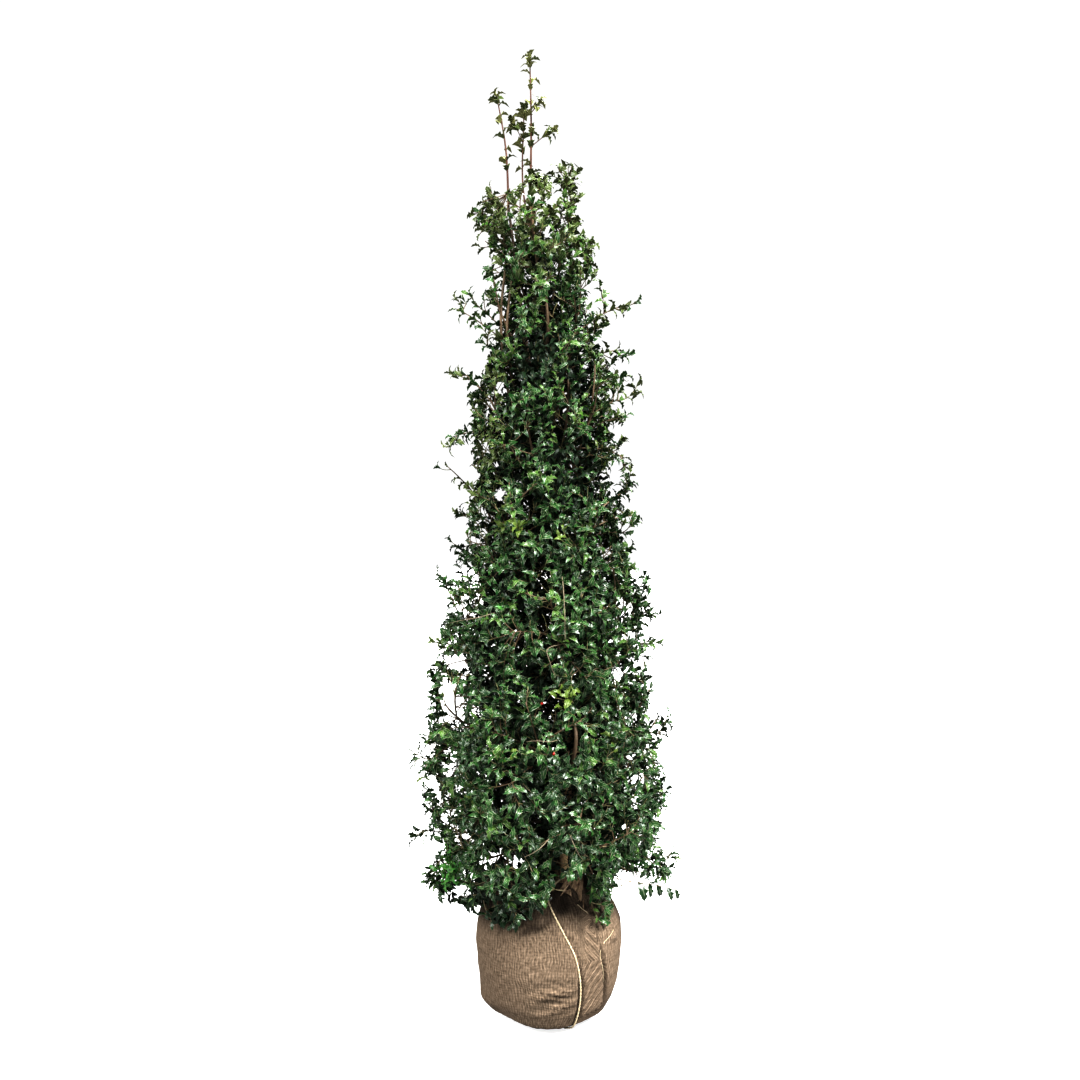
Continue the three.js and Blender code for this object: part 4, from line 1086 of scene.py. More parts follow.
# the hanging sprig's few leaves face the front
sprig = Growth(throughStops(sprigPath, 12)[None], np.zeros(1, int), 1.5, 1.0)
sprigLeaves = leavesAlong(
    sprig, 27, 5, 220, 0.3, angles=(30, 60), droop=2.6, width=1.15, length=1.45, arch=0.05,
)
towards = sprigLeaves["face"] - [0, 2.4, 0]
sprigLeaves["face"] = unit(towards - sprigLeaves["heading"] * dot(towards, sprigLeaves["heading"]))
tips = crownLeaves["base"] + crownLeaves["heading"] * crownLeaves["length"][:, None]
middles = (crownLeaves["base"] + tips) / 2
isBarred = isSky(middles) | isSky(tips + [0, 0, 14]) | isInBall(tips, 3) | isInBall(middles, 4)
isBarred |= np.abs(tips[:, 1]) > foliage["mostDepth"]
isBarred |= isWindow(middles) | isWindow(tips) | isPit(middles) | isLitPath(middles)
crownLeaves = together([chosen(crownLeaves, ~isBarred), sprigLeaves])

# leaders: leaves further apart, hooked, in a rosette at each tip
leaderTwigTips = np.array([(13, -6, 2600), (-27, -20, 2674), (-103, 24, 2630)], float)
leaderOwners = np.arange(leaderStart, len(stemLines))
leaderGrowth = Growth(stemLines[leaderStart:], leaderOwners, leaders["foot"], leaders["tip"])
leaderTwigs = grow(leaderTwigTips, [leaderGrowth], 0.2, 0.0, 6, (1.5, 0.9), 170)
leaderLook = {"length": 0.96, "width": 1.5, "hook": 0.5, "arch": 0.08}
leaderSets = []
for growth, spacing, most, kind in ((leaderGrowth, 23, 16, 120), (leaderTwigs, 21, 5, 140)):
    leaderSets.append(leavesAlong(growth, spacing, most, kind, 0.05, (30, 62), 0.0, **leaderLook))
    leaderSets.append(leavesAlong(growth, 4.0, 8, kind + 20, 0.3, (8, 74), -0.15, **leaderLook))
leaderLeaves = together(leaderSets)
print("leaves", len(crownLeaves["base"]), "on leaders", len(leaderLeaves["base"]))

# tints are dealt out by shoot: young sprays near the top and at a few places in front
youngPlaces = np.array([
    (-66, -230, 1424, 46), (34, -290, 978, 44), (-152, -190, 1440, 40), (40, -230, 1424, 30),
    (-8, -200, 1700, 20), (20, -210, 1608, 18), (-94, -300, 826, 22), (-335, 0, 1088, 34),
    (120, 250, 1300, 46), (-80, 300, 820, 46), (60, 200, 1900, 46), (-384, -20, 717, 34),
    (-212, -240, 700, 26), (180, -240, 824, 24),
], float)
brightPlaces = np.array([(-282, -90, 446, 66), (-150, -250, 1220, 30), (90, -280, 1120, 26)], float)


def isNear(points, places):
    away = np.linalg.norm(points[:, None] - places[None, :, :3], axis=-1)
    return (away < places[:, 3]).any(1)


tintRule = {  # where a shoot's number changes its green, and what height and place add to it
    "steps": [0.46, 0.84], "ownShare": 0.2, "top": 0.18, "outside": 0.1, "upper": 0.16, "low": 0.08,
    "oliveTop": 0.9, "oliveFlank": 0.42,
}


def tintOf(leaves):
    # the number of the leaf's row among the tints
    base = leaves["base"]
    x, z = base[:, 0], base[:, 2]
    value = leaves["shade"] * (1 - tintRule["ownShare"]) + leaves["own"] * tintRule["ownShare"]
    value = value + tintRule["top"] * smoothStep(z, 1900, 2420)
    value = value + tintRule["outside"] * smoothStep(crownShare(base), 0.72, 0.98)
    value = value + tintRule["upper"] * smoothStep(z, 1300, 2000)
    value = value - tintRule["low"] * (1 - smoothStep(z, 600, 1300))
    tint = np.digitize(value, tintRule["steps"])
    flank = tintRule["oliveFlank"] * smoothStep(np.abs(x), 90, 160) * smoothStep(z, 1350, 1600)
    olive = np.maximum(flank, tintRule["oliveTop"] * smoothStep(z, 2060, 2440))
    tint[chance(leaves["growth"], 77) < olive] = 3
    # low on the left the leaves take the darkest green, as painted shade over the ball's left shoulder
    tint[(z < 395) & (x < 0)] = 0
    tint[isNear(base, brightPlaces)] = 5
    tint[isNear(base, youngPlaces)] = 4
    return tint


tints = [  # piece, material, two greens, rim and rib (the rim's pale is a painted highlight), under side, smooth and rough, coat
    ("darkLeaves", "darkLeaf", (0.004, 0.025, 0.004), (0.009, 0.044, 0.009), (0.27, 0.31, 0.21),
     (0.010, 0.036, 0.008), 0.32, 0.46, 0.32),
    ("middleLeaves", "middleLeaf", (0.012, 0.056, 0.010), (0.025, 0.088, 0.017), (0.36, 0.40, 0.25),
     (0.018, 0.058, 0.013), 0.34, 0.48, 0.32),
    ("freshLeaves", "freshLeaf", (0.038, 0.098, 0.014), (0.064, 0.138, 0.022), (0.41, 0.46, 0.27),
     (0.045, 0.092, 0.022), 0.36, 0.5, 0.30),
    ("oliveLeaves", "oliveLeaf", (0.044, 0.072, 0.015), (0.082, 0.116, 0.029), (0.35, 0.39, 0.22),
     (0.062, 0.078, 0.026), 0.36, 0.5, 0.25),
    ("youngLeaves", "youngLeaf", (0.062, 0.106, 0.018), (0.104, 0.154, 0.026), (0.28, 0.34, 0.11),
     (0.10, 0.15, 0.04), 0.38, 0.5, 0.2),
    ("brightLeaves", "brightLeaf", (0.040, 0.170, 0.030), (0.065, 0.225, 0.045), (0.30, 0.42, 0.16),
     (0.09, 0.21, 0.06), 0.38, 0.5, 0.2),
    ("leaderLeaves", "sproutLeaf", (0.145, 0.165, 0.050), (0.205, 0.225, 0.080), (0.42, 0.42, 0.24),
     (0.15, 0.155, 0.06), 0.38, 0.5, 0.2),
]
simple = {  # leaves that get a plain edge and a near-black green as painted shade: deep inside, and low on the left
    "heights": [1900, 2250, 2380], "shares": [1, 0.3, 0],
    "lowFrom": [-310, -400, 0], "lowTo": [-70, 400, 425], "lowShare": 0.6,
}
leafKinds = {"spiny": (spinyLeaf, 6900), "plain": (plainLeaf, 12000)}  # and the most in one piece
tintIndex = tintOf(crownLeaves)
leafBases = crownLeaves["base"]
simpleBelow = leaf["simpleBelow"] * np.interp(leafBases[:, 2], simple["heights"], simple["shares"])
isPlainShadeLeaf = crownShare(leafBases) < simpleBelow
isLow = (leafBases > simple["lowFrom"]).all(1) & (leafBases < simple["lowTo"]).all(1)
isPlainShadeLeaf |= isLow & (crownLeaves["own"] < simple["lowShare"])
leafMaterials = []
for pieceName, materialName, plain, other, paleRibAndRimHighlight, under, smooth, rough, coat in tints:
    underLight = tuple(1.25 * part for part in under)
    leafMaterials.append([
        leafMaterial(materialName, plain, other, paleRibAndRimHighlight, smooth, rough, coat),
        leafMaterial(materialName + "Under", under, underLight, paleRibAndRimHighlight, 0.55, 0.7, 0.0),
    ])


def makeLeafPieces(name, leaves, kind, materials, nodes):
    template, most = leafKinds[kind]
    order = np.argsort(leaves["base"][:, 2], kind="stable")
    parts = int(np.ceil(len(order) / most))
    for part, rows in enumerate(np.array_split(order, parts)):
        mesh, isLower, sharp, lay = leafMesh(template, chosen(leaves, rows))
        letter = "ABCDEFGH"[part] if parts > 1 else ""
        makePiece(name + letter, mesh, materials, nodes, uv=lay, lower=isLower, sharp=sharp)


for tint, row in enumerate(tints[:6]):
    spiny = chosen(crownLeaves, (tintIndex == tint) & ~isPlainShadeLeaf)
    makeLeafPieces(row[0], spiny, "spiny", leafMaterials[tint], foliageNodes)
shadeRim = (0.03, 0.05, 0.02)
shadeMaterials = [
    leafMaterial("shadeLeaf", (0.004, 0.014, 0.004), (0.008, 0.026, 0.007), shadeRim, 0.45, 0.6, 0.05),
    leafMaterial("shadeLeafUnder", (0.010, 0.020, 0.008), (0.016, 0.030, 0.011), shadeRim, 0.6, 0.75, 0.0),
]
inner = chosen(crownLeaves, isPlainShadeLeaf)
makeLeafPieces("innerLeaves", inner, "plain", shadeMaterials, foliageNodes)
isOlive = leaderLeaves["own"] < 0.3
for name, mine, tint in (("leaderLeavesOlive", isOlive, 3), ("leaderLeaves", ~isOlive, 6)):
    some = chosen(leaderLeaves, mine)
    makeLeafPieces(name, some, "spiny", leafMaterials[tint], leaderNodes)

paleTwig = barkMaterial("paleTwig", (0.36, 0.30, 0.19), (0.23, 0.19, 0.11), 0.62, 60.0)
greenTwig = barkMaterial("greenTwig", (0.13, 0.135, 0.055), (0.24, 0.20, 0.10), 0.55, 70.0)
brownTwig = barkMaterial("brownTwig", (0.115, 0.074, 0.042), (0.17, 0.12, 0.07), 0.6, 60.0)
redTwig = barkMaterial("redTwig", (0.095, 0.038, 0.024), (0.14, 0.065, 0.036), 0.5, 60.0)
# the trunk's bark is lightened as painted light, for a trunk that the leaves keep in shade
litTrunkBark = barkMaterial("litTrunkBark", (0.58, 0.42, 0.25), (0.34, 0.24, 0.14), 0.85, 46.0)
redBark = barkMaterial("redBark", (0.175, 0.122, 0.074), (0.105, 0.073, 0.044), 0.7, 52.0)
youngBark = barkMaterial("youngBark", (0.115, 0.072, 0.042), (0.06, 0.040, 0.026), 0.7, 52.0)

crownStems = tubes(stems.lines[:leaderStart], stems.radii[:leaderStart], 7)
mainMesh = tubes(mainTwigs.lines, mainTwigs.radii, 6)
makePiece("foliageStems", joined([crownStems, mainMesh]), [brownTwig], foliageNodes)
isPale = sideTwigs.lines[:, 0, 2] < 560
for name, mine, material in (("lowTwigs", isPale, paleTwig), ("sideTwigs", ~isPale, brownTwig)):
    makePiece(name, tubes(sideTwigs.lines[mine], sideTwigs.radii[mine], 4), [material], foliageNodes)
makePiece("sprigTwig", tubes(sprig.lines, sprig.radii, 5), [paleTwig], foliageNodes)
makePiece("topTwigs", tubes(topTwigs.lines, topTwigs.radii, 6), [redTwig], foliageNodes)
makePiece("leafShoots", tubes(shoots.lines, shoots.radii, 3), [greenTwig], foliageNodes)
makePiece("innerShoots", tubes(innerShoots.lines, innerShoots.radii, 3), [greenTwig], foliageNodes)
leaderMesh = joined([
    tubes(leaderGrowth.lines, leaderGrowth.radii, 8), tubes(leaderTwigs.lines, leaderTwigs.radii, 6),
])
makePiece("leadingShoots", leaderMesh, [redTwig], leaderNodes)


barkRelief = {"furrow": 0.055, "furrows": 9, "knots": 0.16, "knotGap": 92, "swell": 0.05}


def barkTube(line, radii, around, kind):
    # a tube whose radius is the limb's own times one plus drawn-out furrows, slow swells,
    # and a low knot every so often on one side
    angle = np.arange(around) * 2 * np.pi / around
    along, turn = np.meshgrid(lengthsAlong(line), angle, indexing="ij")
    wander = 0.14 * np.sin(along / 37 + kind)
    furrows = ripple(barkRelief["furrows"] * np.cos(turn + wander), along / 17, kind) * barkRelief["furrow"]
    swell = barkRelief["swell"] * ripple(along / 60, 1.4 * np.sin(turn), kind + 3)
    number = np.floor(along / barkRelief["knotGap"] + kind)
    spot = (along / barkRelief["knotGap"] + kind) % 1
    facing = np.cos(turn - number * goldenAngle)
    knots = barkRelief["knots"] * mound(spot, 0.5, 0.09) * np.maximum(0, facing) ** 4
    return tubes(line[None], (radii[:, None] * (1 + furrows + swell + knots))[None], around)


climbed = np.linspace(0, 1, len(trunkLine))
climbedHeight = climbed * (trunk["path"][-1][2] - trunk["ballTop"])
trunkRadii = within((trunk["foot"], trunk["tip"]), climbed ** trunk["thinning"])
trunkRadii = trunkRadii + trunk["flare"] * np.exp(-climbedHeight / trunk["flareHeight"])
visible = trunkLine[:, 2] > trunk["ballTop"] - 1.5
trunkMesh = barkTube(trunkLine[visible], trunkRadii[visible], 30, 0.4)
makePiece("barkedTrunk", trunkMesh, [litTrunkBark], ["trunk"])
boughMeshes = [
    barkTube(line, np.linspace(boughs["foot"], boughs["tip"], len(line)), 14, 0.37 * i)
    for i, line in enumerate(boughLines)
]
makePiece("barkedBoughs", joined(boughMeshes), [youngBark], boughNodes)
uprightMeshes = [
    barkTube(throughStops(path, 170), np.linspace(uprights["foot"], uprights["tip"], 171), 14, 0.8 + i)
    for i, path in enumerate(uprights["paths"])
]
makePiece("barkedUprights", joined(uprightMeshes), [youngBark], uprightNodes)
taper = np.linspace(1, frontLimbs["taper"], 61)
limbMeshes = [
    barkTube(throughStops(path, 60), taper * frontLimbs["radii"][i], 8, 0.3 + i)
    for i, path in enumerate(frontLimbs["paths"])
]
makePiece("frontLimbs", joined(limbMeshes), [redBark], foliageNodes)

paleTwigs = {  # bare pale twigs before the leaves: x, z and how far in front of the shoots' tips
    "paths": [[(36, 1112, -40), (-7, 1099, 12), (1, 1067, 22), (15, 1026, 6)],
              [(35, 1296, -30), (38, 1262, 10), (41, 1190, 22), (42, 1124, 6)],
              [(-150, 1196, -30), (-192, 1184, 2), (-240, 1174, 12), (-284, 1160, 2)],
              [(22, 856, -30), (-2, 858, 14), (-34, 862, 22), (-62, 857, 8)],
              [(-2, 594, -20), (-24, 578, 14), (-48, 561, 16), (-68, 548, 4)],
              [(54, 606, -20), (63, 588, 14), (76, 560, 18), (90, 536, 6)]],
    "foot": 1.6, "tip": 0.9,
}


def beforeLeaves(x, z, out):
    radius = foliageRadius(1.5 * np.pi, z) + out
    return x, -np.sqrt(np.maximum(radius ** 2 - (x - crownAxis(z)) ** 2, 0)), z


paleLines = [throughStops([beforeLeaves(*stop) for stop in path], 30) for path in paleTwigs["paths"]]
paleRadii = np.linspace(paleTwigs["foot"], paleTwigs["tip"], 31)[None]
paleBark = barkMaterial("paleBark", (0.24, 0.20, 0.14), (0.15, 0.12, 0.08), 0.8, 90.0)
paleMeshes = [tubes(line[None], paleRadii, 6) for line in paleLines]
makePiece("paleTwigs", joined(paleMeshes), [paleBark], foliageNodes)


ballShape = {
    "lumps": (3, 2.4), "lumpHeight": 380, "lumpTwist": 85, "bulge": 13, "bulgeHeight": 62,
    "bulgeSpread": 46, "blendRadius": 100, "middle": 210, "around": 400, "rings": 200,
    "crowding": 1.8, "crowdedAt": 5.1, "crowdSpread": 0.75,
}
drape = {  # how far each fold of the cloth stands out or in, and the seam's bearing and lean
    "gathers": 4.5, "ribs": 0.7, "folds": 3.0, "lowFolds": 5.6, "flap": 4.5, "corner": 7.0,
    "slack": 2.2, "tailRidge": 15, "hollow": 24, "crease": 6, "dent": 11, "puffs": 2.6,
    "pressed": 2.6, "beside": 4, "drawn": 0.85, "drawnTo": 370, "perRadian": 200,
    "seamAt": 333.5, "seamLean": 0.077,
}
twine = {
    "radius": 2.9, "sunk": 0.6, "lowShare": 0.2, "lowSunk": 3.6, "ringRise": 0.4, "lay": 10,
    "stops": [
        (268, 0.8), (272, 0.73), (281, 0.64), (290.5, 0.54), (295, 0.43), (296, 0.33), (294.5, 0.24),
        (293, 0.18), (293.5, 0.155), (298, 0.09), (60, 0.09), (65.5, 0.155), (66, 0.18), (70, 0.3),
        (72, 0.45), (74, 0.6), (76, 0.73), (80, 0.8),
    ],
}
collar = {
    "foot": 54, "mouth": 52, "height": 42, "waist": 10, "waistSpread": 0.3, "tail": 50,
    "tailTurn": -14, "tailFrom": 0.4, "tailDroop": 0.22, "pleats": 6, "pleatDepth": 3.5,
    "ruffle": 4, "ripples": 2.6, "wrinkles": (1.2, 4.4), "thick": 3.0, "lift": 0.3, "centre": (44, 0),
    "wall": 200, "perRadian": 55,
}
profileSteps = np.hypot(np.diff(ball["radii"]), np.diff(ball["heights"]))
profileShares = np.r_[0, np.cumsum(profileSteps)] / profileSteps.sum()


def ballSurface(azimuth, share, isSoft=True):
    # a turned profile, softened at its corners, whose radius swells in slow lumps and in
    # one low corner on the left
    z = np.interp(share, profileShares, ball["heights"])
    radius = np.interp(share, profileShares, ball["radii"])
    if isSoft:
        near = np.linspace(-0.018, 0.018, 7)
        weights = mound(near, 0, 0.011)
        weights = weights / weights.sum()
        taken = np.clip(share[..., None] + near, 0, 1)
        end = smoothStep(share, 0, 0.04) * smoothStep(1 - share, 0, 0.04)
        softZ = np.sum(np.interp(taken, profileShares, ball["heights"]) * weights, -1)
        softRadius = np.sum(np.interp(taken, profileShares, ball["radii"]) * weights, -1)
        z = end * softZ + (1 - end) * z
        radius = end * softRadius + (1 - end) * radius
    soft = np.sin(np.pi * np.minimum(1, z / ballShape["lumpHeight"]))
    twofold = ballShape["lumps"][0] * np.sin(2 * azimuth + 0.6)
    threefold = ballShape["lumps"][1] * np.sin(3 * azimuth - z / ballShape["lumpTwist"])
    low = mound(z, ballShape["bulgeHeight"], ballShape["bulgeSpread"])
    low = low * np.maximum(0, np.cos(azimuth - np.pi)) ** 3
    blend = np.minimum(1, radius / ballShape["blendRadius"])
    radius = radius + blend * (soft * (twofold + threefold) + ballShape["bulge"] * low)
    return np.stack([radius * np.cos(azimuth), radius * np.sin(azimuth), z], -1)


def inwardsAt(points):
    inwards = unit(np.array([0, 0, ballShape["middle"]]) - points)
    return np.where(points[..., 2:] < 1, upwards, inwards)


twineStops = []
for degrees, share in twine["stops"]:
    onBall = ballSurface(np.radians(degrees), np.array(share), False)
    sunk = twine["lowSunk"] if share < twine["lowShare"] else twine["sunk"]
    twineStops.append(onBall + inwardsAt(onBall) * sunk)


def collarRadius(azimuth, rise):
    # the gathered cloth: a waist under the twine, six pleats, and a tail on one side
    pleats = collar["pleatDepth"] * np.sin(collar["pleats"] * azimuth) * (0.3 + rise)
    facing = np.maximum(0, np.cos(azimuth - np.radians(collar["tailTurn"]))) ** 3
    tail = collar["tail"] * facing * np.maximum(0, rise - collar["tailFrom"]) / (1 - collar["tailFrom"])
    waist = collar["waist"] * mound(rise, twine["ringRise"], collar["waistSpread"])
    return within((collar["foot"], collar["mouth"]), rise) - waist + pleats + tail


def aroundCollar(azimuth, radius, z):
    x = collar["centre"][0] + radius * np.cos(azimuth)
    y = collar["centre"][1] + radius * np.sin(azimuth)
    return np.stack([x, y, z + 0 * azimuth], -1)


def ringPoint(azimuth):
    z = trunk["ballTop"] + collar["lift"] + collar["height"] * twine["ringRise"]
    return aroundCollar(azimuth, collarRadius(azimuth, twine["ringRise"]) - twine["sunk"], z)


ends = [ringPoint(np.radians(twine["stops"][i][0])) for i in (0, -1)]
strandLine = throughStops([ends[0], *twineStops, ends[1]], 900)

# the rings' points stand closer together in front, where the cloth is folded
turns = np.linspace(0, 2 * np.pi, 1441)
closer = mound(turns, ballShape["crowdedAt"], ballShape["crowdSpread"])
crowding = np.cumsum(1 + ballShape["crowding"] * closer)
crowding = (crowding - crowding[0]) / (crowding[-1] - crowding[0])
azimuths = np.interp(np.arange(ballShape["around"]) / ballShape["around"], crowding, turns)
turn, share = np.meshgrid(azimuths, np.linspace(0, 1, ballShape["rings"] + 1)[1:-1])
surface = ballSurface(turn, share)
girth = turn * drape["perRadian"]
climb = share * profileSteps.sum()
degrees = np.degrees(turn) % 360
height = surface[..., 2]
fromTwine = np.full(height.shape, 1e9)
for spots in np.array_split(strandLine[::6], 10):
    gaps = np.linalg.norm(surface[:, :, None] - spots, axis=-1)
    fromTwine = np.minimum(fromTwine, gaps.min(-1))

# right of the twine the cloth is drawn to a seam: its threads run down to it from above
# and up to it from below; left of the twine low folds run towards the twine
seamAt = drape["seamAt"] - drape["seamLean"] * height
isRight = between(degrees, 293, 300, seamAt - 4, seamAt + 2) * between(height, 15, 60, 300, 350)
afterSeam = smoothStep(degrees, seamAt - 1.0, seamAt + 0.5)
drawnGirth = girth + isRight * drape["drawn"] * np.abs(climb - drape["drawnTo"])
gathers = drape["gathers"] * ripple(turn * 13, climb / 70, 1.7) * smoothStep(height, 300, 395)
ribs = drape["ribs"] * ripple(girth / 3.0 + 2.4 * np.sin(climb / 90), climb / 190, 0.6)
wave = 1.3 * np.sin(climb / 23) + 0.9 * np.sin(girth / 17 + climb / 41)
folds = drape["folds"] * ripple(drawnGirth / 3.8 + wave, climb / 120 - girth / 200, 2.3) * isRight
fan = (height - 104 - 0.14 * (girth - 970) + 2 * np.sin(girth / 14)) / (1.7 + 0.013 * np.abs(girth - 1010))
lowFolds = drape["lowFolds"] * ripple(fan, girth / 30, 3.7) * mound(degrees, 275, 19, height, 116, 52)
flap = between(degrees, seamAt - 1.0, seamAt + 0.5, seamAt + 6, seamAt + 30)
flap = drape["flap"] * flap * between(height, 60, 110, 270, 310)
corner = drape["corner"] * mound(degrees, 329, 6, height, 264, 11)
slack = drape["slack"] * ripple(girth / 46, climb / 58, 4.4)
tailRidge = drape["tailRidge"] * mound(degrees, 297, 5) * smoothStep(height, 326, 356)
hollow = -drape["hollow"] * mound(degrees, 281, 7, height, 376, 20)
crease = -drape["crease"] * mound(degrees, seamAt - 1.6, 1.5) * between(height, 60, 110, 230, 260)
slant = height - 0.54 * (girth - drape["perRadian"] * np.radians(257)) + 7 * np.sin(girth / 11)
dent = -drape["dent"] * mound(slant, 312, 13, degrees, 257, 10)
beside = mound(fromTwine, 6, 4) * (degrees > 293) * (1 - smoothStep(height, 150, 260))
relief = gathers + ribs + folds + lowFolds + flap + corner + slack + tailRidge + hollow + crease + dent
relief = relief * (1 - mound(fromTwine, 0, 9))
relief = relief + drape["puffs"] * mound(fromTwine, 18, 10) * smoothStep(height, 30, 90)
relief = relief - drape["pressed"] * mound(fromTwine, 0, 6) - drape["beside"] * beside
relief = relief * smoothStep(share, 0.075, 0.16) * smoothStep(1 - share, 0.05, 0.2)

# the bundle is slimmer than a turned body low down: a slanting cut on the left, a tuck
# on the right of the twine, and a flank and a shoulder that stand in a little
tucks = [  # how deep, bearing, spread, and the heights between which it comes and goes
    (12, 214, 28, -2, -1, 30, 90), (9, 322, 24, -2, -1, 30, 90), (5, 0, 26, -2, -1, 70, 130),
    (11, 356, 34, 286, 352, 900, 901), (4, 270, 30, -2, -1, 4, 30), (6, 182, 36, 50, 90, 190, 250),
]
pulled = 0
for depth, bearing, spread, *heights in tucks:
    off = (degrees - bearing + 180) % 360 - 180
    pulled = pulled + depth * mound(off, 0, spread) * between(height, *heights)
relief = relief - np.minimum(pulled, 12) * smoothStep(share, 0.1, 0.165)

# painted shade darkens the cloth in its folds, creases, hollow and dent and beside the twine, and painted
# light lightens it right of the twine and past the seam
paintedSeamLight = afterSeam * (1 - 0.5 * smoothStep(degrees, 345, 359)) * (degrees < 359.5)
paintedSeamLight = 0.36 * paintedSeamLight * between(height, 60, 110, 300, 350) + 0.26 * isRight
paintedCreaseShade = (folds + 0.9 * lowFolds) / 3 + (crease + hollow) / 7 + dent / 8 - 0.8 * beside
paintedShadeAndLight = np.clip(paintedCreaseShade + paintedSeamLight, -1, 0.45)
surface = surface - inwardsAt(surface) * relief[..., None]
surface[..., 2] = np.maximum(surface[..., 2], 0)
rings, around = surface.shape[:2]
points = np.vstack([surface.reshape(-1, 3), [[0, 0, 0], [0, 0, trunk["ballTop"]]]])
spot = np.arange(around)
nextSpot = (spot + 1) % around
last = (rings - 1) * around
under = np.stack([spot, np.full(around, rings * around), nextSpot], 1)
over = np.stack([last + spot, last + nextSpot, np.full(around, rings * around + 1)], 1)
faces = [ringQuads(rings, around), under, over]
lay = np.vstack([np.stack([drawnGirth, climb], -1).reshape(-1, 2), [[0, 0], [0, climb.max()]]]) * toMetres
# painted shade and light per point, nought at the centres of the two caps
shade = np.r_[paintedShadeAndLight.ravel(), 0, 0]
# the ball's cloth falls to half its colour at the top, as the crown's painted shadow
burlapCloth = jute("burlapCloth", (0.087, 0.062, 0.040), (0.172, 0.129, 0.092), (0.288, 0.222, 0.163), 0.5)
makePiece("burlapBall", (points, faces), [burlapCloth], ["root_ball"], uv=lay, folds=shade)

looseTwine = {  # bits of twine that lie on the cloth: bearing and share of the way up the ball
    "paths": [[(330, 0.61), (323, 0.597), (316.5, 0.582)],
              [(295, 0.735), (298, 0.715), (302, 0.712), (305, 0.70)],
              [(316.5, 0.582), (314, 0.54), (316, 0.47), (321, 0.41)]],
    "foot": 1.3, "tip": 0.7, "proud": 1.2, "steps": 16,
}


def onCloth(bearing, share):
    column = np.abs(azimuths - np.radians(bearing)).argmin()
    spot = surface[int(round(share * ballShape["rings"])) - 1, column]
    return spot - inwardsAt(spot) * looseTwine["proud"]


def pliedTube(line, around):
    # two plies, so the radius has two lobes that turn along the line
    lengths = lengthsAlong(line)
    along, turn = np.meshgrid(lengths, np.arange(around) * 2 * np.pi / around, indexing="ij")
    turns = round(lengths[-1] / twine["lay"]) / lengths[-1]
    lobes = 0.82 + 0.18 * np.cos(2 * (turn - np.pi * along * turns))
    return tubes(line[None], (twine["radius"] * lobes)[None], around)


looseRadii = np.linspace(looseTwine["foot"], looseTwine["tip"], looseTwine["steps"] + 1)[None]
looseLines = [
    throughStops([onCloth(*stop) for stop in path], looseTwine["steps"]) for path in looseTwine["paths"]
]
looseEnds = [tubes(line[None], looseRadii, 6) for line in looseLines]
strandMesh = pliedTube(strandLine, 10)
ringLine = evenly(ringPoint(np.linspace(0, 2 * np.pi, 200)), 240)
ringMesh = pliedTube(np.vstack([ringLine, ringLine[1:4]]), 10)
paleJute = barkMaterial("paleJute", (0.48, 0.39, 0.25), (0.66, 0.57, 0.41), 0.9, 320.0)
makePiece("tiedTwine", joined([strandMesh, ringMesh, *looseEnds]), [paleJute], ["ball_twine"])

# the collar: outside up from the ball, over a rolled lip, and down inside to the trunk
outside, inside = np.linspace(0, 1, 22), np.linspace(0.98, 0.12, 16)
isInner = np.r_[np.zeros(len(outside)), np.ones(len(inside))][:, None]
turn, rise = np.meshgrid(np.arange(collar["wall"]) * 2 * np.pi / collar["wall"], np.r_[outside, inside])
wrinkles = within(collar["wrinkles"], rise) * ripple(turn * 9, rise * 2.4, 3.1)
outer = collarRadius(turn, rise) + wrinkles
bore = trunk["foot"] + trunk["flare"] + 1.5 + 12 * rise
inner = np.maximum(bore, outer - collar["thick"] - (1 - rise) * 22)
radius = np.where(isInner > 0, inner, outer)
droop = collar["tailDroop"] * np.maximum(0, outer - collar["mouth"]) * (1 - isInner * 0.1)
ruffle = collar["ruffle"] * np.sin(collar["pleats"] * turn + 1)
ruffle = ruffle + collar["ripples"] * ripple(turn * 7, rise, 5.2)
z = trunk["ballTop"] - 3 * (1 - np.minimum(1, rise * 6)) + collar["height"] * rise + ruffle * rise - droop
points = aroundCollar(turn, radius, z).reshape(-1, 3)
quads = ringQuads(len(rise), collar["wall"], True)
rows = np.arange(len(rise))[:, None]
lay = np.stack([turn * collar["perRadian"], rows * 2.4 + 0 * turn], -1).reshape(-1, 2) * toMetres
# the collar's cloth is a lighter copy of the ball's, painted light where the crown shades it, with hardly any
# painted shadow at its top
litCollarCloth = jute("litCollarCloth", (0.16, 0.107, 0.066), (0.34, 0.245, 0.16), (0.54, 0.40, 0.27), 0.95)
makePiece("gatheredCollar", (points, [quads]), [litCollarCloth], ["burlap_collar"], uv=lay)

# the collar's tail lies forward over the ball's shoulder: between four corners, with
# pleats that run down it, and a thickness
tail = {
    "corners": [(58, -56, 428), (100, -56, 420), (30, -124, 404), (98, -166, 364)], "across": 48,
    "along": 40, "crown": 9, "pleat": 5, "crumple": 1.4, "ragged": 5, "thick": 3,
}
down, over = np.meshgrid(np.linspace(0, 1, tail["along"]), np.linspace(0, 1, tail["across"]), indexing="ij")
a, b, c, d = np.array(tail["corners"], float)
sheet = ((1 - over) * (1 - down))[..., None] * a + (over * (1 - down))[..., None] * b
sheet = sheet + ((1 - over) * down)[..., None] * c + (over * down)[..., None] * d
outward = unit(np.cross(c - a, b - a))
pleats = np.sin(5.5 * np.pi * over + 1.4 * down) * (0.4 + 0.6 * np.sin(np.pi * down))
lift = tail["crown"] * np.sin(np.pi * over) + tail["pleat"] * pleats
lift = lift + tail["crumple"] * ripple(over * 11, down * 4, 2.6)
ragged = tail["ragged"] * ripple(over * 9, 0 * over, 7.1) * down ** 3
sheet = (sheet + lift[..., None] * outward + ragged[..., None] * unit(c - a)).reshape(-1, 3)
count = len(sheet)
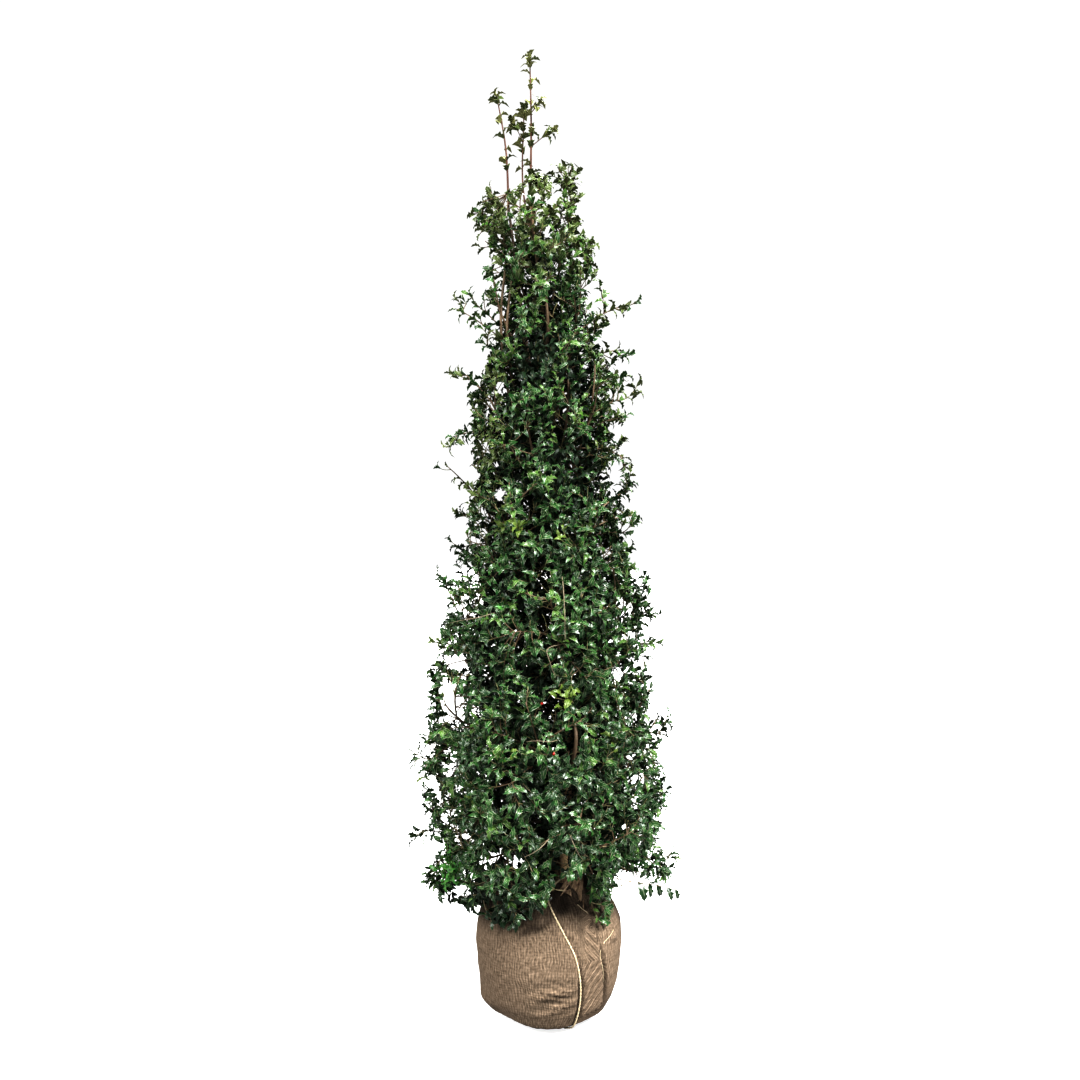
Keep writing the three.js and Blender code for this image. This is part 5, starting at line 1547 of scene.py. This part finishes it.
points = np.vstack([sheet, sheet - outward * tail["thick"]])
wide, long = tail["across"], tail["along"]
row, column = np.meshgrid(np.arange(long - 1), np.arange(wide - 1), indexing="ij")
spot = (row * wide + column).ravel()
front = np.stack([spot, spot + wide, spot + wide + 1, spot + 1], -1)
back = front[:, ::-1] + count
rim = np.r_[np.arange(wide), np.arange(2, long + 1) * wide - 1,
            count - 2 - np.arange(wide - 1), (long - 1 - np.arange(1, long - 1)) * wide]
nextRim = np.roll(rim, -1)
edges = np.stack([rim, nextRim, nextRim + count, rim + count], -1)
lay = np.tile(np.stack([over * 60, down * 110], -1).reshape(-1, 2), (2, 1)) * toMetres
makePiece("collarTail", (points, [front, back, edges]), [litCollarCloth], ["burlap_collar"], uv=lay)


berries = {"radius": 4.2, "wanted": [(17, -300, 823), (-4, -300, 978), (-60, 280, 1180)]}
berryRed = barkMaterial("berryRed", (0.42, 0.022, 0.012), (0.30, 0.012, 0.008), 0.32, 90.0)
angle = np.linspace(0, np.pi, 9)
berryRadii = np.maximum(0.25, berries["radius"] * np.sin(angle))[None]
count = len(shoots.lines)
spots, headings = placesOn(shoots.lines, np.arange(count), np.full(count, 0.55))
berryMeshes = []
for place in berries["wanted"]:
    # each hangs on its stalk from the shoot nearest to the wanted place
    hold = spots[np.linalg.norm(spots - np.array(place), axis=1).argmin()]
    centre = hold + np.array([0, np.sign(place[1]) * 7, -3.0])
    line = centre + np.stack([0 * angle, 0 * angle, -np.cos(angle) * berries["radius"]], 1)
    berryMeshes.append(tubes(line[None], berryRadii, 12))
    berryMeshes.append(tubes(np.linspace(hold, centre, 3)[None], np.full((1, 3), 0.5), 4))
makePiece("berries", joined(berryMeshes), [berryRed])


studio = {
    "lens": 43.13, "backdrop": 1.05, "ambient": 0.09, "sheen": 0.06, "floorSize": 60, "floorSeen": 0.45,
    "floorBounce": 0.3, "floorGlow": 0.88,
    "suns": [  # name, azimuth from the front towards the right, elevation, strength, angle
        ("key", keySun["azimuth"], keySun["elevation"], 10.8, 28),
        ("fill", -58, 40, 5.0, 34), ("rear", 165, 48, 2.8, 26),
    ],
}
reach = studio["floorSize"]
floorData = bpy.data.meshes.new("floor")
corners = [(-reach, -reach, 0), (reach, -reach, 0), (reach, reach, 0), (-reach, reach, 0)]
floorData.from_pydata(corners, [], [(0, 1, 2, 3)])
floor = bpy.data.objects.new("floor", floorData)
bpy.context.scene.collection.objects.link(floor)
floorMaterial, floorTree, floorShader = startMaterial("paleFloor", 0.9, (0.93, 0.93, 0.93))
floorShader.inputs["Specular IOR Level"].default_value = 0.1
isSeen = floorTree.nodes.new("ShaderNodeLightPath").outputs["Is Camera Ray"]
floorColor = mixColors(floorTree, isSeen, (studio["floorBounce"],) * 3, (studio["floorSeen"],) * 3)
floorTree.links.new(floorColor, floorShader.inputs["Base Color"])
floorShader.inputs["Emission Color"].default_value = (1, 1, 1, 1)
floorGlow = mathNode(floorTree, "MULTIPLY", isSeen, studio["floorGlow"])
floorTree.links.new(floorGlow, floorShader.inputs["Emission Strength"])
floorData.materials.append(floorMaterial)

world = bpy.data.worlds.new("studio")
bpy.context.scene.world = world
world.use_nodes = True
backdrop = world.node_tree.nodes["Background"]
backdrop.inputs["Color"].default_value = (1, 1, 1, 1)
rays = world.node_tree.nodes.new("ShaderNodeLightPath").outputs
sheen = spreadNode(world.node_tree, rays["Is Glossy Ray"], 0, 1, studio["ambient"], studio["sheen"])
seen = spreadNode(world.node_tree, rays["Is Camera Ray"], 0, 1, 0.0, studio["backdrop"])
glow = mathNode(world.node_tree, "MAXIMUM", sheen, seen)
world.node_tree.links.new(glow, backdrop.inputs["Strength"])

for name, azimuth, elevation, strength, angle in studio["suns"]:
    sunData = bpy.data.lights.new(name, "SUN")
    sunData.energy, sunData.angle = strength, np.radians(angle)
    sun = bpy.data.objects.new(name, sunData)
    sun.rotation_euler = (np.radians(90 - elevation), 0, np.radians(azimuth))
    bpy.context.scene.collection.objects.link(sun)

cameraData = bpy.data.cameras.new("camera")
cameraData.lens, cameraData.sensor_width = studio["lens"], 36
camera = bpy.data.objects.new("camera", cameraData)
camera.location = frontEye * toMetres
camera.rotation_euler = (np.pi / 2, 0, 0)
bpy.context.scene.collection.objects.link(camera)
bpy.context.scene.camera = camera
bpy.context.scene.view_settings.view_transform = "Standard"
bpy.context.scene.view_settings.gamma = 0.7
